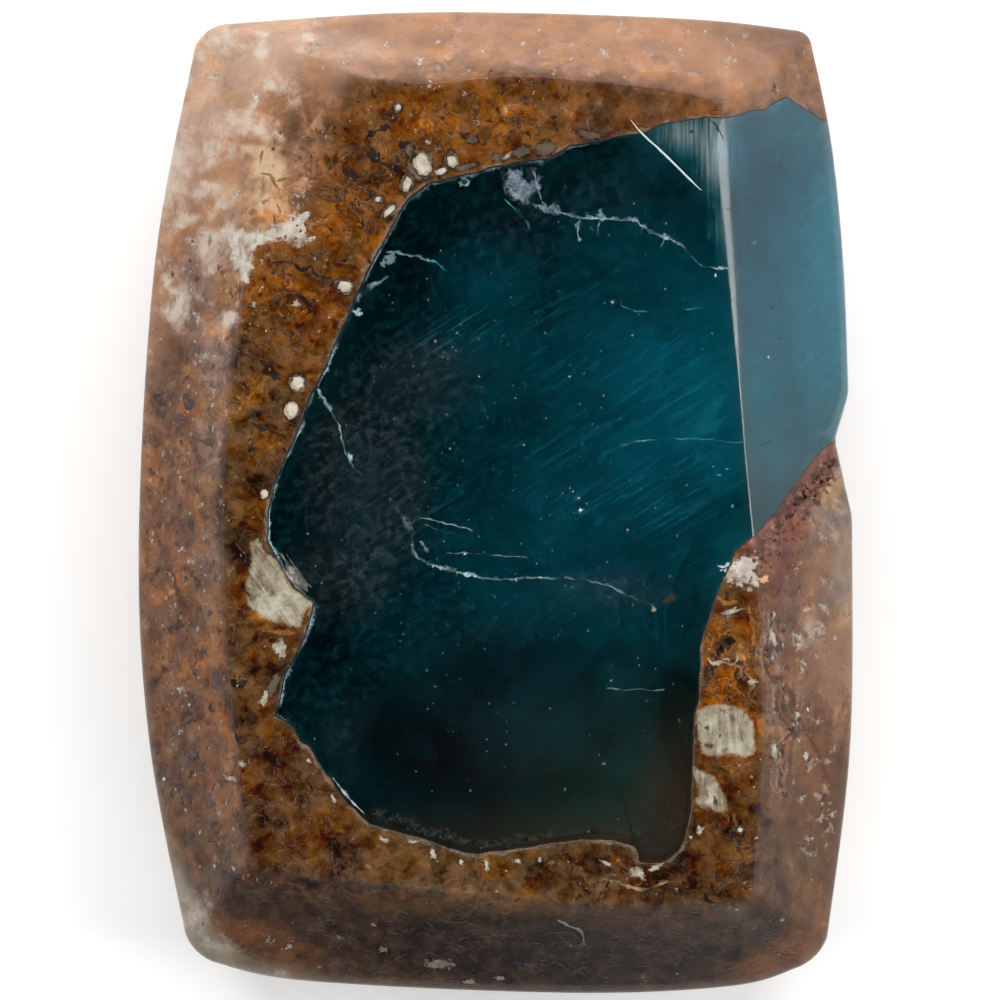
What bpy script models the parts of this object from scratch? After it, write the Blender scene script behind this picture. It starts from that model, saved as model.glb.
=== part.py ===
"""A cut and polished stone: moss chalcedony that encloses one large apatite crystal.

The stone is a tablet with a flat table on top, bevelled faces round it, a girdle,
slightly tapered walls and a flat back. The crystal lies in a pocket of the
chalcedony. It is cut flush with the table, and it crosses the right bevel and the
girdle. X is the stone's width, Y its length, and Z its thickness, from the back up.
"""
import bpy
import bmesh
from mathutils import Vector
from mathutils.geometry import interpolate_bezier

MM = 0.001

# Heights above the flat back, in millimetres
BACK_BEVEL_TOP = 0.9
WALL_TOP = 4.3
GIRDLE_TOP = 4.6
TABLE_HEIGHT = 6.2

# How far the back and the foot of the wall stand in from the girdle, in millimetres
BACK_INSET = 1.15
WALL_FOOT_INSET = 0.35

# The girdle seen from above, in millimetres: right, top, left and bottom side
GIRDLE_SIDES = (
    ((6.09, -7.97), (6.50, -4.60), (6.55, -1.05), (6.48, 1.90), (6.38, 4.44), (6.16, 6.64), (5.81, 8.36)),
    ((5.52, 8.67), (3.69, 8.87), (0.45, 8.99), (-2.04, 8.98), (-5.01, 8.78)),
    ((-5.52, 8.36), (-6.25, 4.44), (-6.55, -0.69), (-6.36, -4.35), (-5.70, -7.90)),
    ((-5.19, -8.43), (-3.47, -8.78), (1.36, -9.00), (4.37, -8.87), (5.58, -8.52)),
)
GIRDLE_CORNER_BOW = 0.08
# A chip in the right side of the girdle, where the contact with the crystal runs out
CHIP_PLACE = 1.14
CHIP_DEPTH = 0.28
CHIP_REACH_UP = 0.85
CHIP_REACH_DOWN = 1.4

# The edge of the table, in the same order. Its top left corner is cut off at a slant.
TABLE_SIDES = (
    ((4.70, -7.15), (4.88, -4.72), (4.83, -2.11), (4.55, 1.09), (4.31, 4.06), (4.22, 7.15)),
    ((4.11, 7.33), (1.91, 7.74), (-1.27, 7.70), (-2.59, 7.81)),
    ((-4.50, 4.72), (-4.93, 0.98), (-4.95, -1.79), (-4.73, -4.59), (-4.50, -6.51)),
    ((-4.35, -6.75), (-1.03, -7.08), (1.91, -7.37), (4.50, -7.30)),
)
TABLE_CORNER_BOWS = (0.02, 0.22, 0.02, 0.02)

STEPS_PER_SIDE = (30, 16, 26, 16)
STEPS_PER_CORNER = 4
CURVE_STEPS = 12

# The contact between crystal and chalcedony on the cut faces, in millimetres
CONTACT_TOP = ((6.9, 6.6), (5.92, 7.06), (5.61, 7.24), (5.34, 7.43), (5.04, 7.28), (4.62, 7.13), (4.24, 7.02),
               (3.09, 6.91), (2.65, 6.73), (1.68, 6.56), (0.96, 6.27), (0.03, 6.14), (-1.18, 5.83), (-1.60, 5.54))
CONTACT_LEFT = ((-2.22, 4.46), (-3.12, 2.43), (-3.67, 1.14), (-4.15, -0.25), (-4.17, -0.69), (-3.95, -1.09),
                (-3.67, -1.58), (-3.32, -1.84), (-3.60, -2.70), (-4.02, -3.89), (-3.56, -4.35))
CONTACT_BOTTOM = ((-2.70, -5.47), (-2.26, -5.89), (-0.36, -6.42), (0.85, -6.25), (2.30, -6.20), (2.75, -6.52),
                  (3.20, -6.48), (3.56, -5.67))
CONTACT_RIGHT = ((3.69, -3.65), (3.74, -2.63), (4.18, -1.35), (4.50, -0.78), (5.04, -0.28), (5.34, 0.14),
                 (5.91, 0.91), (6.20, 1.14), (6.9, 1.8))

# The crystal's sides go straight down to its shoulder, then slope in to its floor.
CRYSTAL_CENTRE = (0.7, 0.3)
CRYSTAL_SHOULDER = 4.4
CRYSTAL_FLOOR = 2.6
FLOOR_SCALE = 0.80
# Towards its lower right corner the crystal thins out, and its floor rises.
THIN_CORNER = (3.4, -6.2)
THIN_REACH = 4.2
THIN_RISE = 1.7

# The crystal's block reaches this far above the table before the stone's form cuts it.
OVERCUT = 0.6
# Room between the crystal and the wall of its pocket
POCKET_GAP = 0.2


def clear_scene():
    """Remove whatever the file holds."""
    for leftover in list(bpy.data.objects):
        bpy.data.objects.remove(leftover, do_unlink=True)


def polished(name, colour, roughness):
    """A polished mineral surface."""
    material = bpy.data.materials.new(name)
    material.use_nodes = True
    shader = material.node_tree.nodes["Principled BSDF"]
    shader.inputs["Base Color"].default_value = (*colour, 1.0)
    shader.inputs["Roughness"].default_value = roughness
    shader.inputs["Metallic"].default_value = 0.0
    material.diffuse_color = (*colour, 1.0)
    return material


def smooth_curve(points):
    """A fine polyline that runs smoothly through the given points."""
    knots = [Vector((x, y, 0.0)) for x, y in points]
    curve = [knots[0]]
    for index in range(len(knots) - 1):
        start = knots[index]
        end = knots[index + 1]
        before = knots[max(index - 1, 0)]
        after = knots[min(index + 2, len(knots) - 1)]
        handle_out = start + (end - before) / 6
        handle_in = end - (after - start) / 6
        curve += interpolate_bezier(start, handle_out, handle_in, end, CURVE_STEPS + 1)[1:]
    return curve


def evenly_spaced(curve, count):
    """The points of a polyline at count equal steps, with both of its ends."""
    lengths = [0.0]
    for start, end in zip(curve, curve[1:]):
        lengths.append(lengths[-1] + (end - start).length)
    spaced = []
    segment = 0
    for step in range(count + 1):
        target = lengths[-1] * step / count
        while segment < len(curve) - 2 and lengths[segment + 1] < target:
            segment += 1
        part = (target - lengths[segment]) / (lengths[segment + 1] - lengths[segment])
        spaced.append(curve[segment].lerp(curve[segment + 1], part))
    return spaced


def corner(start, end, bow):
    """The points between two sides, on an arc that stands out by bow at its middle."""
    outward = Vector((end.y - start.y, start.x - end.x, 0.0)).normalized()
    points = []
    for step in range(1, STEPS_PER_CORNER):
        part = step / STEPS_PER_CORNER
        points.append(start.lerp(end, part) + outward * (4 * bow * part * (1 - part)))
    return points


def outline(sides, corner_bows):
    """A closed ring, counter-clockwise from above: four curved sides and their corners."""
    runs = [evenly_spaced(smooth_curve(side), count) for side, count in zip(sides, STEPS_PER_SIDE)]
    ring = []
    for index, run in enumerate(runs):
        following = runs[(index + 1) % len(runs)]
        ring += run + corner(run[-1], following[0], corner_bows[index])
    return ring


def grown(ring, distance):
    """A ring moved outward by distance."""
    moved = []
    for index, point in enumerate(ring):
        before = (point - ring[index - 1]).normalized()
        after = (ring[(index + 1) % len(ring)] - point).normalized()
        outward = Vector((before.y + after.y, -before.x - after.x, 0.0)).normalized()
        spread = max(outward.dot(Vector((after.y, -after.x, 0.0))), 0.5)
        moved.append(point + outward * (distance / spread))
    return moved


def drawn_in(ring, inset):
    """A ring of the girdle's shape, smaller by inset at its widest and longest places."""
    half_width = max(abs(point.x) for point in ring)
    half_length = max(abs(point.y) for point in ring)
    across = 1 - inset / half_width
    along = 1 - inset / half_length
    return [Vector((point.x * across, point.y * along, 0.0)) for point in ring]


def chipped(ring):
    """The girdle's ring with the chip in its right side."""
    worn = []
    for point in ring:
        along = point.y - CHIP_PLACE
        reach = CHIP_REACH_UP if along > 0 else CHIP_REACH_DOWN
        depth = CHIP_DEPTH * max(1 - abs(along) / reach, 0.0) if point.x > 0 else 0.0
        worn.append(Vector((point.x - depth, point.y, point.z)))
    return worn


def at_height(ring, height):
    """The ring's points at one height."""
    return [Vector((point.x, point.y, height)) for point in ring]


def loft(name, levels):
    """A closed solid through rings of equal point count, listed from the bottom up."""
    form = bmesh.new()
    rings = [[form.verts.new(point * MM) for point in level] for level in levels]
    form.faces.new(list(reversed(rings[0])))
    form.faces.new(rings[-1])
    for lower, upper in zip(rings, rings[1:]):
        for index in range(len(lower)):
            following = (index + 1) % len(lower)
            form.faces.new((lower[index], lower[following], upper[following], upper[index]))
    bmesh.ops.triangulate(form, faces=form.faces[:])
    mesh = bpy.data.meshes.new(name)
    form.to_mesh(mesh)
    form.free()
    solid = bpy.data.objects.new(name, mesh)
    bpy.context.collection.objects.link(solid)
    return solid


def stone_form(name):
    """The outer shape of the whole stone, as it was cut and polished."""
    girdle = outline(GIRDLE_SIDES, [GIRDLE_CORNER_BOW] * len(GIRDLE_SIDES))
    table = outline(TABLE_SIDES, TABLE_CORNER_BOWS)
    return loft(name, (
        at_height(drawn_in(girdle, BACK_INSET), 0.0),
        at_height(drawn_in(girdle, WALL_FOOT_INSET), BACK_BEVEL_TOP),
        at_height(chipped(girdle), WALL_TOP),
        at_height(chipped(girdle), GIRDLE_TOP),
        at_height(table, TABLE_HEIGHT),
    ))


def crystal_floor(point):
    """How high the crystal's floor lies under a point of its outline."""
    distance = (Vector((point.x, point.y)) - Vector(THIN_CORNER)).length
    return CRYSTAL_FLOOR + THIN_RISE * max(1.0 - distance / THIN_REACH, 0.0)


def crystal_block(name, margin):
    """The crystal before the stone was cut, larger by margin on its sides and floor."""
    contact = [Vector((x, y, 0.0)) for x, y in CONTACT_TOP + CONTACT_LEFT + CONTACT_BOTTOM + CONTACT_RIGHT]
    sides = grown(contact, margin)
    centre = Vector((*CRYSTAL_CENTRE, 0.0))
    floor = []
    for rough, side in zip(contact, sides):
        point = centre + (side - centre) * FLOOR_SCALE
        floor.append(Vector((point.x, point.y, crystal_floor(rough) - margin)))
    return loft(name, (
        floor,
        at_height(sides, CRYSTAL_SHOULDER),
        at_height(sides, TABLE_HEIGHT + OVERCUT),
    ))


def guide(solid):
    """Keep a solid only as a shape that cuts others."""
    solid.hide_render = True
    solid.display_type = 'WIRE'
    return solid


def cut(solid, other, operation):
    """Combine a solid with a guide by an exact Boolean."""
    boolean = solid.modifiers.new(operation.lower(), 'BOOLEAN')
    boolean.object = other
    boolean.operation = operation
    boolean.solver = 'EXACT'


def make_chalcedony():
    """The host stone, with the pocket that the crystal fills."""
    chalcedony = stone_form("chalcedony")
    cut(chalcedony, guide(crystal_block("pocket_guide", POCKET_GAP)), 'DIFFERENCE')
    chalcedony.data.materials.append(polished("moss_chalcedony", (0.30, 0.14, 0.06), 0.25))
    return chalcedony


def make_apatite():
    """The crystal, cut flush with the table, the right bevel and the girdle."""
    apatite = crystal_block("apatite", 0.0)
    cut(apatite, guide(stone_form("stone_guide")), 'INTERSECT')
    apatite.data.materials.append(polished("apatite_crystal", (0.0, 0.09, 0.12), 0.08))
    return apatite


clear_scene()
make_chalcedony()
make_apatite()
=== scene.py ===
import math
import random

import bmesh
import bpy
import numpy as np
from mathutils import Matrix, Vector, noise
from mathutils.bvhtree import BVHTree
from mathutils.geometry import delaunay_2d_cdt
from mathutils.kdtree import KDTree


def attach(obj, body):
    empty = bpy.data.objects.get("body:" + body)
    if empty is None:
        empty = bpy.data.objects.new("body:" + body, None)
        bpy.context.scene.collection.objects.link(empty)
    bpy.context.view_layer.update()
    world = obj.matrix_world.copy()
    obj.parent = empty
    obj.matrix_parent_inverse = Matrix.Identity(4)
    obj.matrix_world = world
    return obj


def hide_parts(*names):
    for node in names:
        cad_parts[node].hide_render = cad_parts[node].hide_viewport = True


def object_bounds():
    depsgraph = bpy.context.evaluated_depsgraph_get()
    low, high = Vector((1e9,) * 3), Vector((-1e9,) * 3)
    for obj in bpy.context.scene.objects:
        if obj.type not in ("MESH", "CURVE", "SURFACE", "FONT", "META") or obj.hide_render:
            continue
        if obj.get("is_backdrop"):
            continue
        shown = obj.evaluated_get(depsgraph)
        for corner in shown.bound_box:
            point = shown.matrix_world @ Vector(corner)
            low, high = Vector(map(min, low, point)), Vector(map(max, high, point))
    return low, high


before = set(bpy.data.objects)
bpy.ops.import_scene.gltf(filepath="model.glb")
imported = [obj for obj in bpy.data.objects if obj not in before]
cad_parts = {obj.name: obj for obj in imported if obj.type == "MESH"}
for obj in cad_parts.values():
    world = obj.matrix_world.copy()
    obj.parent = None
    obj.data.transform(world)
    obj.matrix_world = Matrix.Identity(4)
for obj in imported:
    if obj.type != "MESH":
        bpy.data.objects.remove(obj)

cad_low, cad_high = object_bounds()


# The cut tablet. The whole stone, chalcedony and crystal together, was sawn, ground and
# polished as one block: a flat table, four bevels round it with softly worn edges, a thin
# girdle, slightly tapered walls and a flat back. All lines are in millimetres from its centre.

MM = 0.001
table_height = cad_high.z / MM
girdle_top = table_height - 1.6
girdle_foot = girdle_top - 0.3
back_bevel_top = 0.9
back_inset = 1.15
wall_foot_inset = 0.35

girdle_sides = (
    ((6.09, -7.97), (6.50, -4.60), (6.55, -1.05), (6.48, 1.90), (6.38, 4.44), (6.16, 6.64), (5.81, 8.36)),
    ((5.52, 8.67), (3.69, 8.87), (0.45, 8.99), (-2.04, 8.98), (-5.01, 8.78)),
    ((-5.52, 8.36), (-6.25, 4.44), (-6.55, -0.69), (-6.36, -4.35), (-5.70, -7.90)),
    ((-5.19, -8.43), (-3.47, -8.78), (1.36, -9.00), (4.37, -8.87), (5.58, -8.52)),
)
table_sides = (
    ((4.70, -7.15), (4.88, -4.72), (4.83, -2.11), (4.55, 1.09), (4.31, 4.06), (4.13, 6.40), (4.22, 7.15)),
    ((4.11, 7.33), (2.99, 7.57), (0.45, 7.79), (-1.27, 7.66), (-2.59, 7.81)),
    ((-4.50, 4.72), (-4.93, 0.98), (-4.95, -1.79), (-4.73, -4.59), (-4.50, -6.51)),
    ((-4.35, -6.75), (-1.03, -7.08), (1.91, -7.37), (4.50, -7.30)),
)
side_steps = (116, 74, 116, 76)
corner_steps = (6, 26, 6, 6)
girdle_corner_bow = (0.08, 0.08, 0.08, 0.08)
table_corner_bow = (0.02, 0.22, 0.02, 0.02)
chip_place, chip_depth, chip_up, chip_down = 1.14, 0.28, 0.85, 1.4


def smooth_run(points, steps):
    """Points at equal steps along a smooth curve through the given ones."""
    knots = np.array(points, float)
    before = np.vstack([knots[:1], knots[:-2]])
    after = np.vstack([knots[2:], knots[-1:]])
    start, end = knots[:-1], knots[1:]
    fine = []
    for part in np.linspace(0, 1, 24, endpoint=False):
        hold = (1 - part) ** 3 * start + part ** 3 * end
        hold += 3 * (1 - part) ** 2 * part * (start + (end - before) / 6)
        hold += 3 * (1 - part) * part ** 2 * (end - (after - start) / 6)
        fine.append(hold)
    line = np.vstack([np.stack(fine, 1).reshape(-1, 2), knots[-1:]])
    return even_steps(line, steps)


def even_steps(line, steps):
    """A polyline resampled at equal steps, both ends kept."""
    length = np.concatenate([[0], np.cumsum(np.linalg.norm(np.diff(line, axis=0), axis=1))])
    target = np.linspace(0, length[-1], steps + 1)
    return np.stack([np.interp(target, length, line[:, axis]) for axis in (0, 1)], 1)


def ring_line(sides, bows):
    """The closed line round the stone: four curved sides joined by short arcs."""
    runs = [smooth_run(side, steps) for side, steps in zip(sides, side_steps)]
    ring = []
    for index, run in enumerate(runs):
        start, end = run[-1], runs[(index + 1) % 4][0]
        outward = np.array([end[1] - start[1], start[0] - end[0]])
        outward /= np.linalg.norm(outward)
        part = np.linspace(0, 1, corner_steps[index] + 1)[1:-1, None]
        arc = start + (end - start) * part + outward * 4 * bows[index] * part * (1 - part)
        ring += [run, arc]
    return np.vstack(ring)


def with_chip(ring):
    """The girdle with the small chip where the contact with the crystal runs out of it."""
    along = ring[:, 1] - chip_place
    reach = np.where(along > 0, chip_up, chip_down)
    depth = chip_depth * np.clip(1 - np.abs(along) / reach, 0, 1) * (ring[:, 0] > 0)
    return np.stack([ring[:, 0] - depth, ring[:, 1]], 1)


girdle_plain = ring_line(girdle_sides, girdle_corner_bow)
girdle = with_chip(girdle_plain)
table = ring_line(table_sides, table_corner_bow)
ring_size = len(girdle)


def at_height(ring, height):
    """The ring's points in space."""
    return np.column_stack([ring, np.full(len(ring), height)])


def worn_edge(outer, edge, inner, width, steps=4):
    """Rings that round off an edge, between points on the faces on both of its sides."""
    def toward(goal):
        step = goal - edge
        return edge + step / np.linalg.norm(step, axis=1)[:, None] * width[:, None]
    start, end = toward(outer), toward(inner)
    rings = []
    for part in np.linspace(0, 1, steps):
        rings.append((1 - part) ** 2 * start + 2 * part * (1 - part) * edge + part ** 2 * end)
    return rings


# The table's edge is worn softest along the top left slant and at the top of the right side.
right_wear_places = (1.8, 3.0, 4.1, 5.2, 5.9, 6.5)
right_wear = (0.0, 0.06, 0.10, 0.13, 0.19, 0.24)
slant = np.exp(-(((table - (-3.7, 6.4)) ** 2).sum(1)) / 2.6)
along_right = np.interp(table[:, 1], right_wear_places, right_wear) * (table[:, 0] > 4)
table_wear = np.maximum(0.022 + 0.16 * slant, along_right)
table_edge = at_height(table, table_height)
girdle_edge = at_height(girdle, girdle_top)
table_middle = np.column_stack([table * 0.8, np.full(ring_size, table_height)])
girdle_band = at_height(girdle, girdle_foot)
upper_round = worn_edge(girdle_edge, table_edge, table_middle, table_wear, 6)
lower_round = worn_edge(girdle_band, girdle_edge, table_edge, np.full(ring_size, 0.06), 3)
bevel_rings = []
for part in np.linspace(0, 1, 14)[1:-1]:
    bevel_rings.append(lower_round[-1] * (1 - part) + upper_round[0] * part)
crown_rings = lower_round + bevel_rings + upper_round

crown_points = [Vector(point) for ring in crown_rings for point in ring]
crown_faces = []
for level in range(len(crown_rings) - 1):
    for index in range(ring_size):
        following = (index + 1) % ring_size
        low, high = level * ring_size, (level + 1) * ring_size
        crown_faces.append((low + index, low + following, high + following, high + index))
crown_faces.append([(len(crown_rings) - 1) * ring_size + index for index in range(ring_size)])
crown_form = BVHTree.FromPolygons(crown_points, crown_faces)


def crown_height(x, y):
    """How high the cut face is at a place seen from above."""
    hit = crown_form.ray_cast(Vector((x, y, table_height + 1)), Vector((0, 0, -1)))[0]
    return hit.z if hit else girdle_top - 0.06


# The contact between crystal and chalcedony, as it shows on the cut faces. It starts at the
# girdle on the upper right, runs round the crystal over the table, and ends at the girdle's
# chip. Straight runs are the crystal's own faces, and the ragged ones are where it broke.

contact_knots = (
    (6.09, 7.00), (5.92, 7.06), (5.61, 7.24), (5.34, 7.43), (5.04, 7.28), (4.95, 7.19), (4.62, 7.13), (4.24, 7.02),
    (3.78, 7.02), (3.09, 6.91), (2.65, 6.73), (2.26, 6.67), (1.68, 6.56), (1.33, 6.49), (1.13, 6.38), (0.96, 6.27),
    (0.61, 6.25), (0.03, 6.14), (-0.45, 6.00), (-0.83, 5.92), (-1.18, 5.83), (-1.40, 5.70), (-1.60, 5.54),
    (-1.75, 5.30), (-1.90, 4.99), (-2.22, 4.46), (-2.57, 3.71), (-2.85, 3.07), (-3.12, 2.43), (-3.40, 1.88),
    (-3.67, 1.14), (-4.02, 0.41), (-4.15, -0.25), (-4.17, -0.69), (-3.95, -1.09), (-3.67, -1.58), (-3.32, -1.84),
    (-3.36, -2.08), (-3.47, -2.43), (-3.60, -2.70), (-3.85, -3.16), (-3.93, -3.54), (-4.02, -3.89), (-3.71, -4.07),
    (-3.56, -4.35), (-3.40, -4.44), (-3.12, -4.90), (-2.70, -5.47), (-2.26, -5.89), (-1.73, -6.02), (-1.31, -6.13),
    (-0.87, -6.31), (-0.36, -6.42), (0.21, -6.33), (0.85, -6.25), (1.64, -6.14), (2.15, -6.16), (2.59, -6.29),
    (2.63, -6.58), (3.01, -6.58), (3.32, -6.38), (3.42, -6.18), (3.56, -5.67), (3.60, -4.64), (3.62, -3.91),
    (3.69, -3.65), (3.71, -3.14), (3.74, -2.63), (3.82, -2.32), (3.93, -1.97), (4.04, -1.66), (4.18, -1.35),
    (4.39, -0.91), (4.50, -0.78), (4.68, -0.63), (4.86, -0.47), (5.04, -0.28), (5.17, -0.10), (5.34, 0.14),
    (5.61, 0.52), (5.91, 0.91), (6.20, 1.14),
)
contact_step = 0.055
contact_wiggle = 0.022

upper_exit = int(np.argmin(((girdle - contact_knots[0]) ** 2).sum(1)))
lower_exit = int(np.argmin(((girdle - contact_knots[-1]) ** 2).sum(1)))
knots = np.array(contact_knots)
contact = even_steps(knots, int(np.linalg.norm(np.diff(knots, axis=0), axis=1).sum() / contact_step))
for point in contact:
    place = Vector((point[0], point[1], 0.0))
    point[0] += contact_wiggle * (noise.noise(place * 3.1) + 0.5 * noise.noise(place * 9.0))
    point[1] += contact_wiggle * (noise.noise(place * 3.1 + Vector((7, 3, 1))) + 0.5 * noise.noise(place * 9.0))
contact[0], contact[-1] = girdle[upper_exit], girdle[lower_exit]
crystal_plan = np.vstack([contact, [(8.0, 1.14), (8.0, 7.0)]])


def inside(points, loop):
    """Which points lie in a closed loop."""
    x, y = points[:, 0], points[:, 1]
    odd = np.zeros(len(points), bool)
    for (x1, y1), (x2, y2) in zip(loop, np.roll(loop, -1, axis=0)):
        if y1 != y2:
            odd ^= ((y1 > y) != (y2 > y)) & (x < (x2 - x1) * (y - y1) / (y2 - y1) + x1)
    return odd


def distance_to(points, line):
    """Distance from each point to an open polyline."""
    best = np.full(len(points), 1e9)
    for start, end in zip(line[:-1], line[1:]):
        run = end - start
        part = np.clip(((points - start) @ run) / max(run @ run, 1e-12), 0, 1)
        best = np.minimum(best, np.linalg.norm(points - start - part[:, None] * run, axis=1))
    return best


# The large patches of the chalcedony: cream clay in three hollows against the crystal, and rough
# white quartz on the upper left and where the contact leaves the table. All were cut flush.

clay_patches = (
    ((-4.48, -0.74), (-4.28, -0.65), (-4.24, -0.92), (-4.02, -1.03), (-3.74, -1.51), (-3.56, -1.66), (-3.30, -1.84),
     (-3.47, -2.01), (-3.60, -2.26), (-3.85, -2.22), (-4.17, -2.15), (-4.51, -1.90), (-4.55, -1.58), (-4.48, -1.13)),
    ((3.69, -3.80), (3.90, -3.68), (4.24, -3.70), (4.62, -3.86), (4.74, -4.26), (4.70, -4.62), (4.24, -4.64),
     (3.82, -4.60), (3.70, -4.26)),
    ((3.62, -4.83), (3.80, -4.90), (4.06, -5.06), (4.18, -5.41), (4.24, -5.70), (4.09, -5.67), (3.74, -5.54),
     (3.62, -5.47), (3.74, -5.28), (3.65, -5.06)),
)
quartz_patches = (
    ((-5.26, 4.84), (-5.01, 4.75), (-4.82, 4.40), (-4.61, 4.06), (-4.46, 4.29), (-4.39, 4.59), (-4.28, 4.75),
     (-3.85, 4.79), (-3.45, 4.72), (-3.42, 5.06), (-3.47, 5.28), (-3.76, 5.23), (-4.04, 5.14), (-4.28, 5.03),
     (-4.68, 4.94), (-4.95, 4.95)),
    ((4.06, -1.15), (4.28, -1.14), (4.46, -1.05), (4.70, -1.03), (4.77, -1.24), (4.79, -1.44), (4.61, -1.47),
     (4.33, -1.47), (4.24, -1.33)),
)


def resting_loop(outline):
    """A patch's outline with soft corners, as a closed line."""
    closed = outline + outline[:1]
    return smooth_run(closed, 4 * len(outline))[:-1]


clay_loops = [resting_loop(outline) for outline in clay_patches]
quartz_loops = [resting_loop(outline) for outline in quartz_patches]


def patch_distance(points, loops):
    """How far points lie outside the nearest patch. Inside it is negative."""
    gap = np.full(len(points), 9.0)
    for loop in loops:
        distance = distance_to(points, np.vstack([loop, loop[:1]]))
        gap = np.minimum(gap, np.where(inside(points, loop), -distance, distance))
    return gap


# The cut top of the stone, seen from above: one fine net of triangles whose lines follow the
# girdle, the worn edges and the contact, so that crystal and chalcedony share every point
# where they meet. It is dense in the chalcedony, where the grains and pits are small.

random.seed(4)
grid_step = 0.085
crystal_step = 0.24

plan_points, plan_lines, plan_heights = [], [], []


def add_line(points, heights, closed):
    """A line that the net has to follow."""
    first = len(plan_points)
    plan_points.extend(points)
    plan_heights.extend(heights)
    count = len(points)
    plan_lines.extend((first + k, first + (k + 1) % count) for k in range(count if closed else count - 1))


for ring in crown_rings[:1] + crown_rings[len(lower_round) - 1:len(lower_round)] + upper_round:
    add_line([tuple(point[:2]) for point in ring], [point[2] for point in ring], True)
contact_heights = [crown_height(x, y) for x, y in contact]
contact_heights[0] = contact_heights[-1] = crown_rings[0][0][2]
add_line([tuple(point) for point in contact[1:-1]], contact_heights[1:-1], False)
last = len(plan_points) - 1
plan_lines += [(upper_exit, last - (len(contact) - 3)), (last, lower_exit)]

taken = {}


def crowded(x, y, room):
    """Whether another point of the net is nearer than room."""
    cell_x, cell_y = int(x // 0.1), int(y // 0.1)
    for i in (-1, 0, 1):
        for j in (-1, 0, 1):
            for other in taken.get((cell_x + i, cell_y + j), ()):
                if (other[0] - x) ** 2 + (other[1] - y) ** 2 < room * room:
                    return True
    return False


def take(x, y):
    """Note a place as used."""
    taken.setdefault((int(x // 0.1), int(y // 0.1)), []).append((x, y))


for x, y in plan_points:
    take(x, y)


def add_point(x, y, room, height=None):
    """A free point of the net, unless the net is already dense there."""
    if not crowded(x, y, room):
        take(x, y)
        plan_points.append((x, y))
        plan_heights.append(height)


patch_points = np.vstack(clay_loops + quartz_loops)
on_stone = ~inside(patch_points, crystal_plan) & inside(patch_points, girdle)
for x, y in patch_points[on_stone]:
    add_point(x, y, 0.03)
for ring in bevel_rings + lower_round[1:-1]:
    for x, y, z in ring:
        add_point(x, y, 0.035, z)
inner_table = upper_round[-1][:, :2]
across, along = np.meshgrid(np.arange(-6.5, 6.5, grid_step), np.arange(-9, 9, grid_step))
grid = np.stack([across.ravel(), along.ravel()], 1)
grid = grid + np.array([(random.uniform(-0.25, 0.25), random.uniform(-0.25, 0.25)) for _ in grid]) * grid_step
grid = grid[inside(grid, inner_table)]
deep = inside(grid, crystal_plan) & (distance_to(grid, contact[::3]) > 0.3)
for (x, y), in_crystal in zip(grid, deep):
    if not in_crystal:
        add_point(x, y, grid_step * 0.55, table_height)
for x, y in grid[deep]:
    add_point(x, y, crystal_step, table_height)

net = delaunay_2d_cdt([Vector(point) for point in plan_points], plan_lines, [], 1, 1e-7)
net_points = np.array([tuple(point) for point in net[0]])
net_faces = np.array([face for face in net[2] if len(face) == 3])
net_heights = np.zeros(len(net_points))
for index, origins in enumerate(net[3]):
    known = [plan_heights[k] for k in origins if plan_heights[k] is not None]
    net_heights[index] = known[0] if known else crown_height(*net_points[index])
face_middles = net_points[net_faces].mean(1)
in_crystal = inside(face_middles, crystal_plan)

# The walls, unrolled: one column for each point of the girdle's ring, from the girdle down to
# the back. The crystal shows through them in a window below the bevel that it crosses.

window_shape = ((0.0, 0.0), (0.03, -0.35), (0.10, -1.05), (0.16, -1.55), (0.33, -1.72), (0.52, -1.58),
                (0.70, -1.74), (0.83, -1.50), (0.91, -0.95), (0.97, -0.40), (1.0, 0.0))
wall_top = crown_rings[0][0][2]
wall_start = 300
half_width, half_length = 6.55, 9.0


def wall_place(column, height):
    """The point of the wall at a column of the girdle's ring and a height."""
    index = int(math.floor(column))
    part = column - index
    this, following = (index + wall_start) % ring_size, (index + 1 + wall_start) % ring_size
    worn = girdle[this] * (1 - part) + girdle[following] * part
    plain = girdle_plain[this] * (1 - part) + girdle_plain[following] * part
    if height >= girdle_foot:
        return (worn[0], worn[1], height)
    if height >= back_bevel_top:
        down = (girdle_foot - height) / (girdle_foot - back_bevel_top)
        inset = wall_foot_inset
        base = worn
    else:
        down = 1.0
        inset = wall_foot_inset + (back_inset - wall_foot_inset) * (1 - height / back_bevel_top)
        base = plain
    foot = (plain[0] * (1 - inset / half_width), plain[1] * (1 - inset / half_length))
    return (base[0] * (1 - down) + foot[0] * down, base[1] * (1 - down) + foot[1] * down, height)


first_column = (lower_exit - wall_start) % ring_size
last_column = (upper_exit - wall_start) % ring_size
window = np.array(window_shape)
window = even_steps(np.stack([window[:, 0] * 10, window[:, 1]], 1), 110)
window_columns = first_column + (last_column - first_column) * window[:, 0] / 10
window_heights = wall_top + window[:, 1]
for k in range(1, len(window) - 1):
    place = Vector((window[k, 0], window[k, 1], 4.0))
    window_heights[k] += 0.05 * noise.noise(place * 2.2) + 0.02 * noise.noise(place * 9)

column_width = 0.14
wall_levels = [wall_top, girdle_foot + 0.12, girdle_foot + 0.03, girdle_foot - 0.03]
wall_levels += list(np.linspace(girdle_foot - 0.03, back_bevel_top + 0.05, 26))[1:]
wall_levels += [back_bevel_top - 0.05]
wall_levels += list(np.linspace(back_bevel_top - 0.05, 0.04, 7))[1:] + [0.0]
wall_points, wall_lines = [], []


def wall_flat(column, height):
    """Where a point of the wall lies when the wall is unrolled."""
    return (column * column_width, height)


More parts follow.
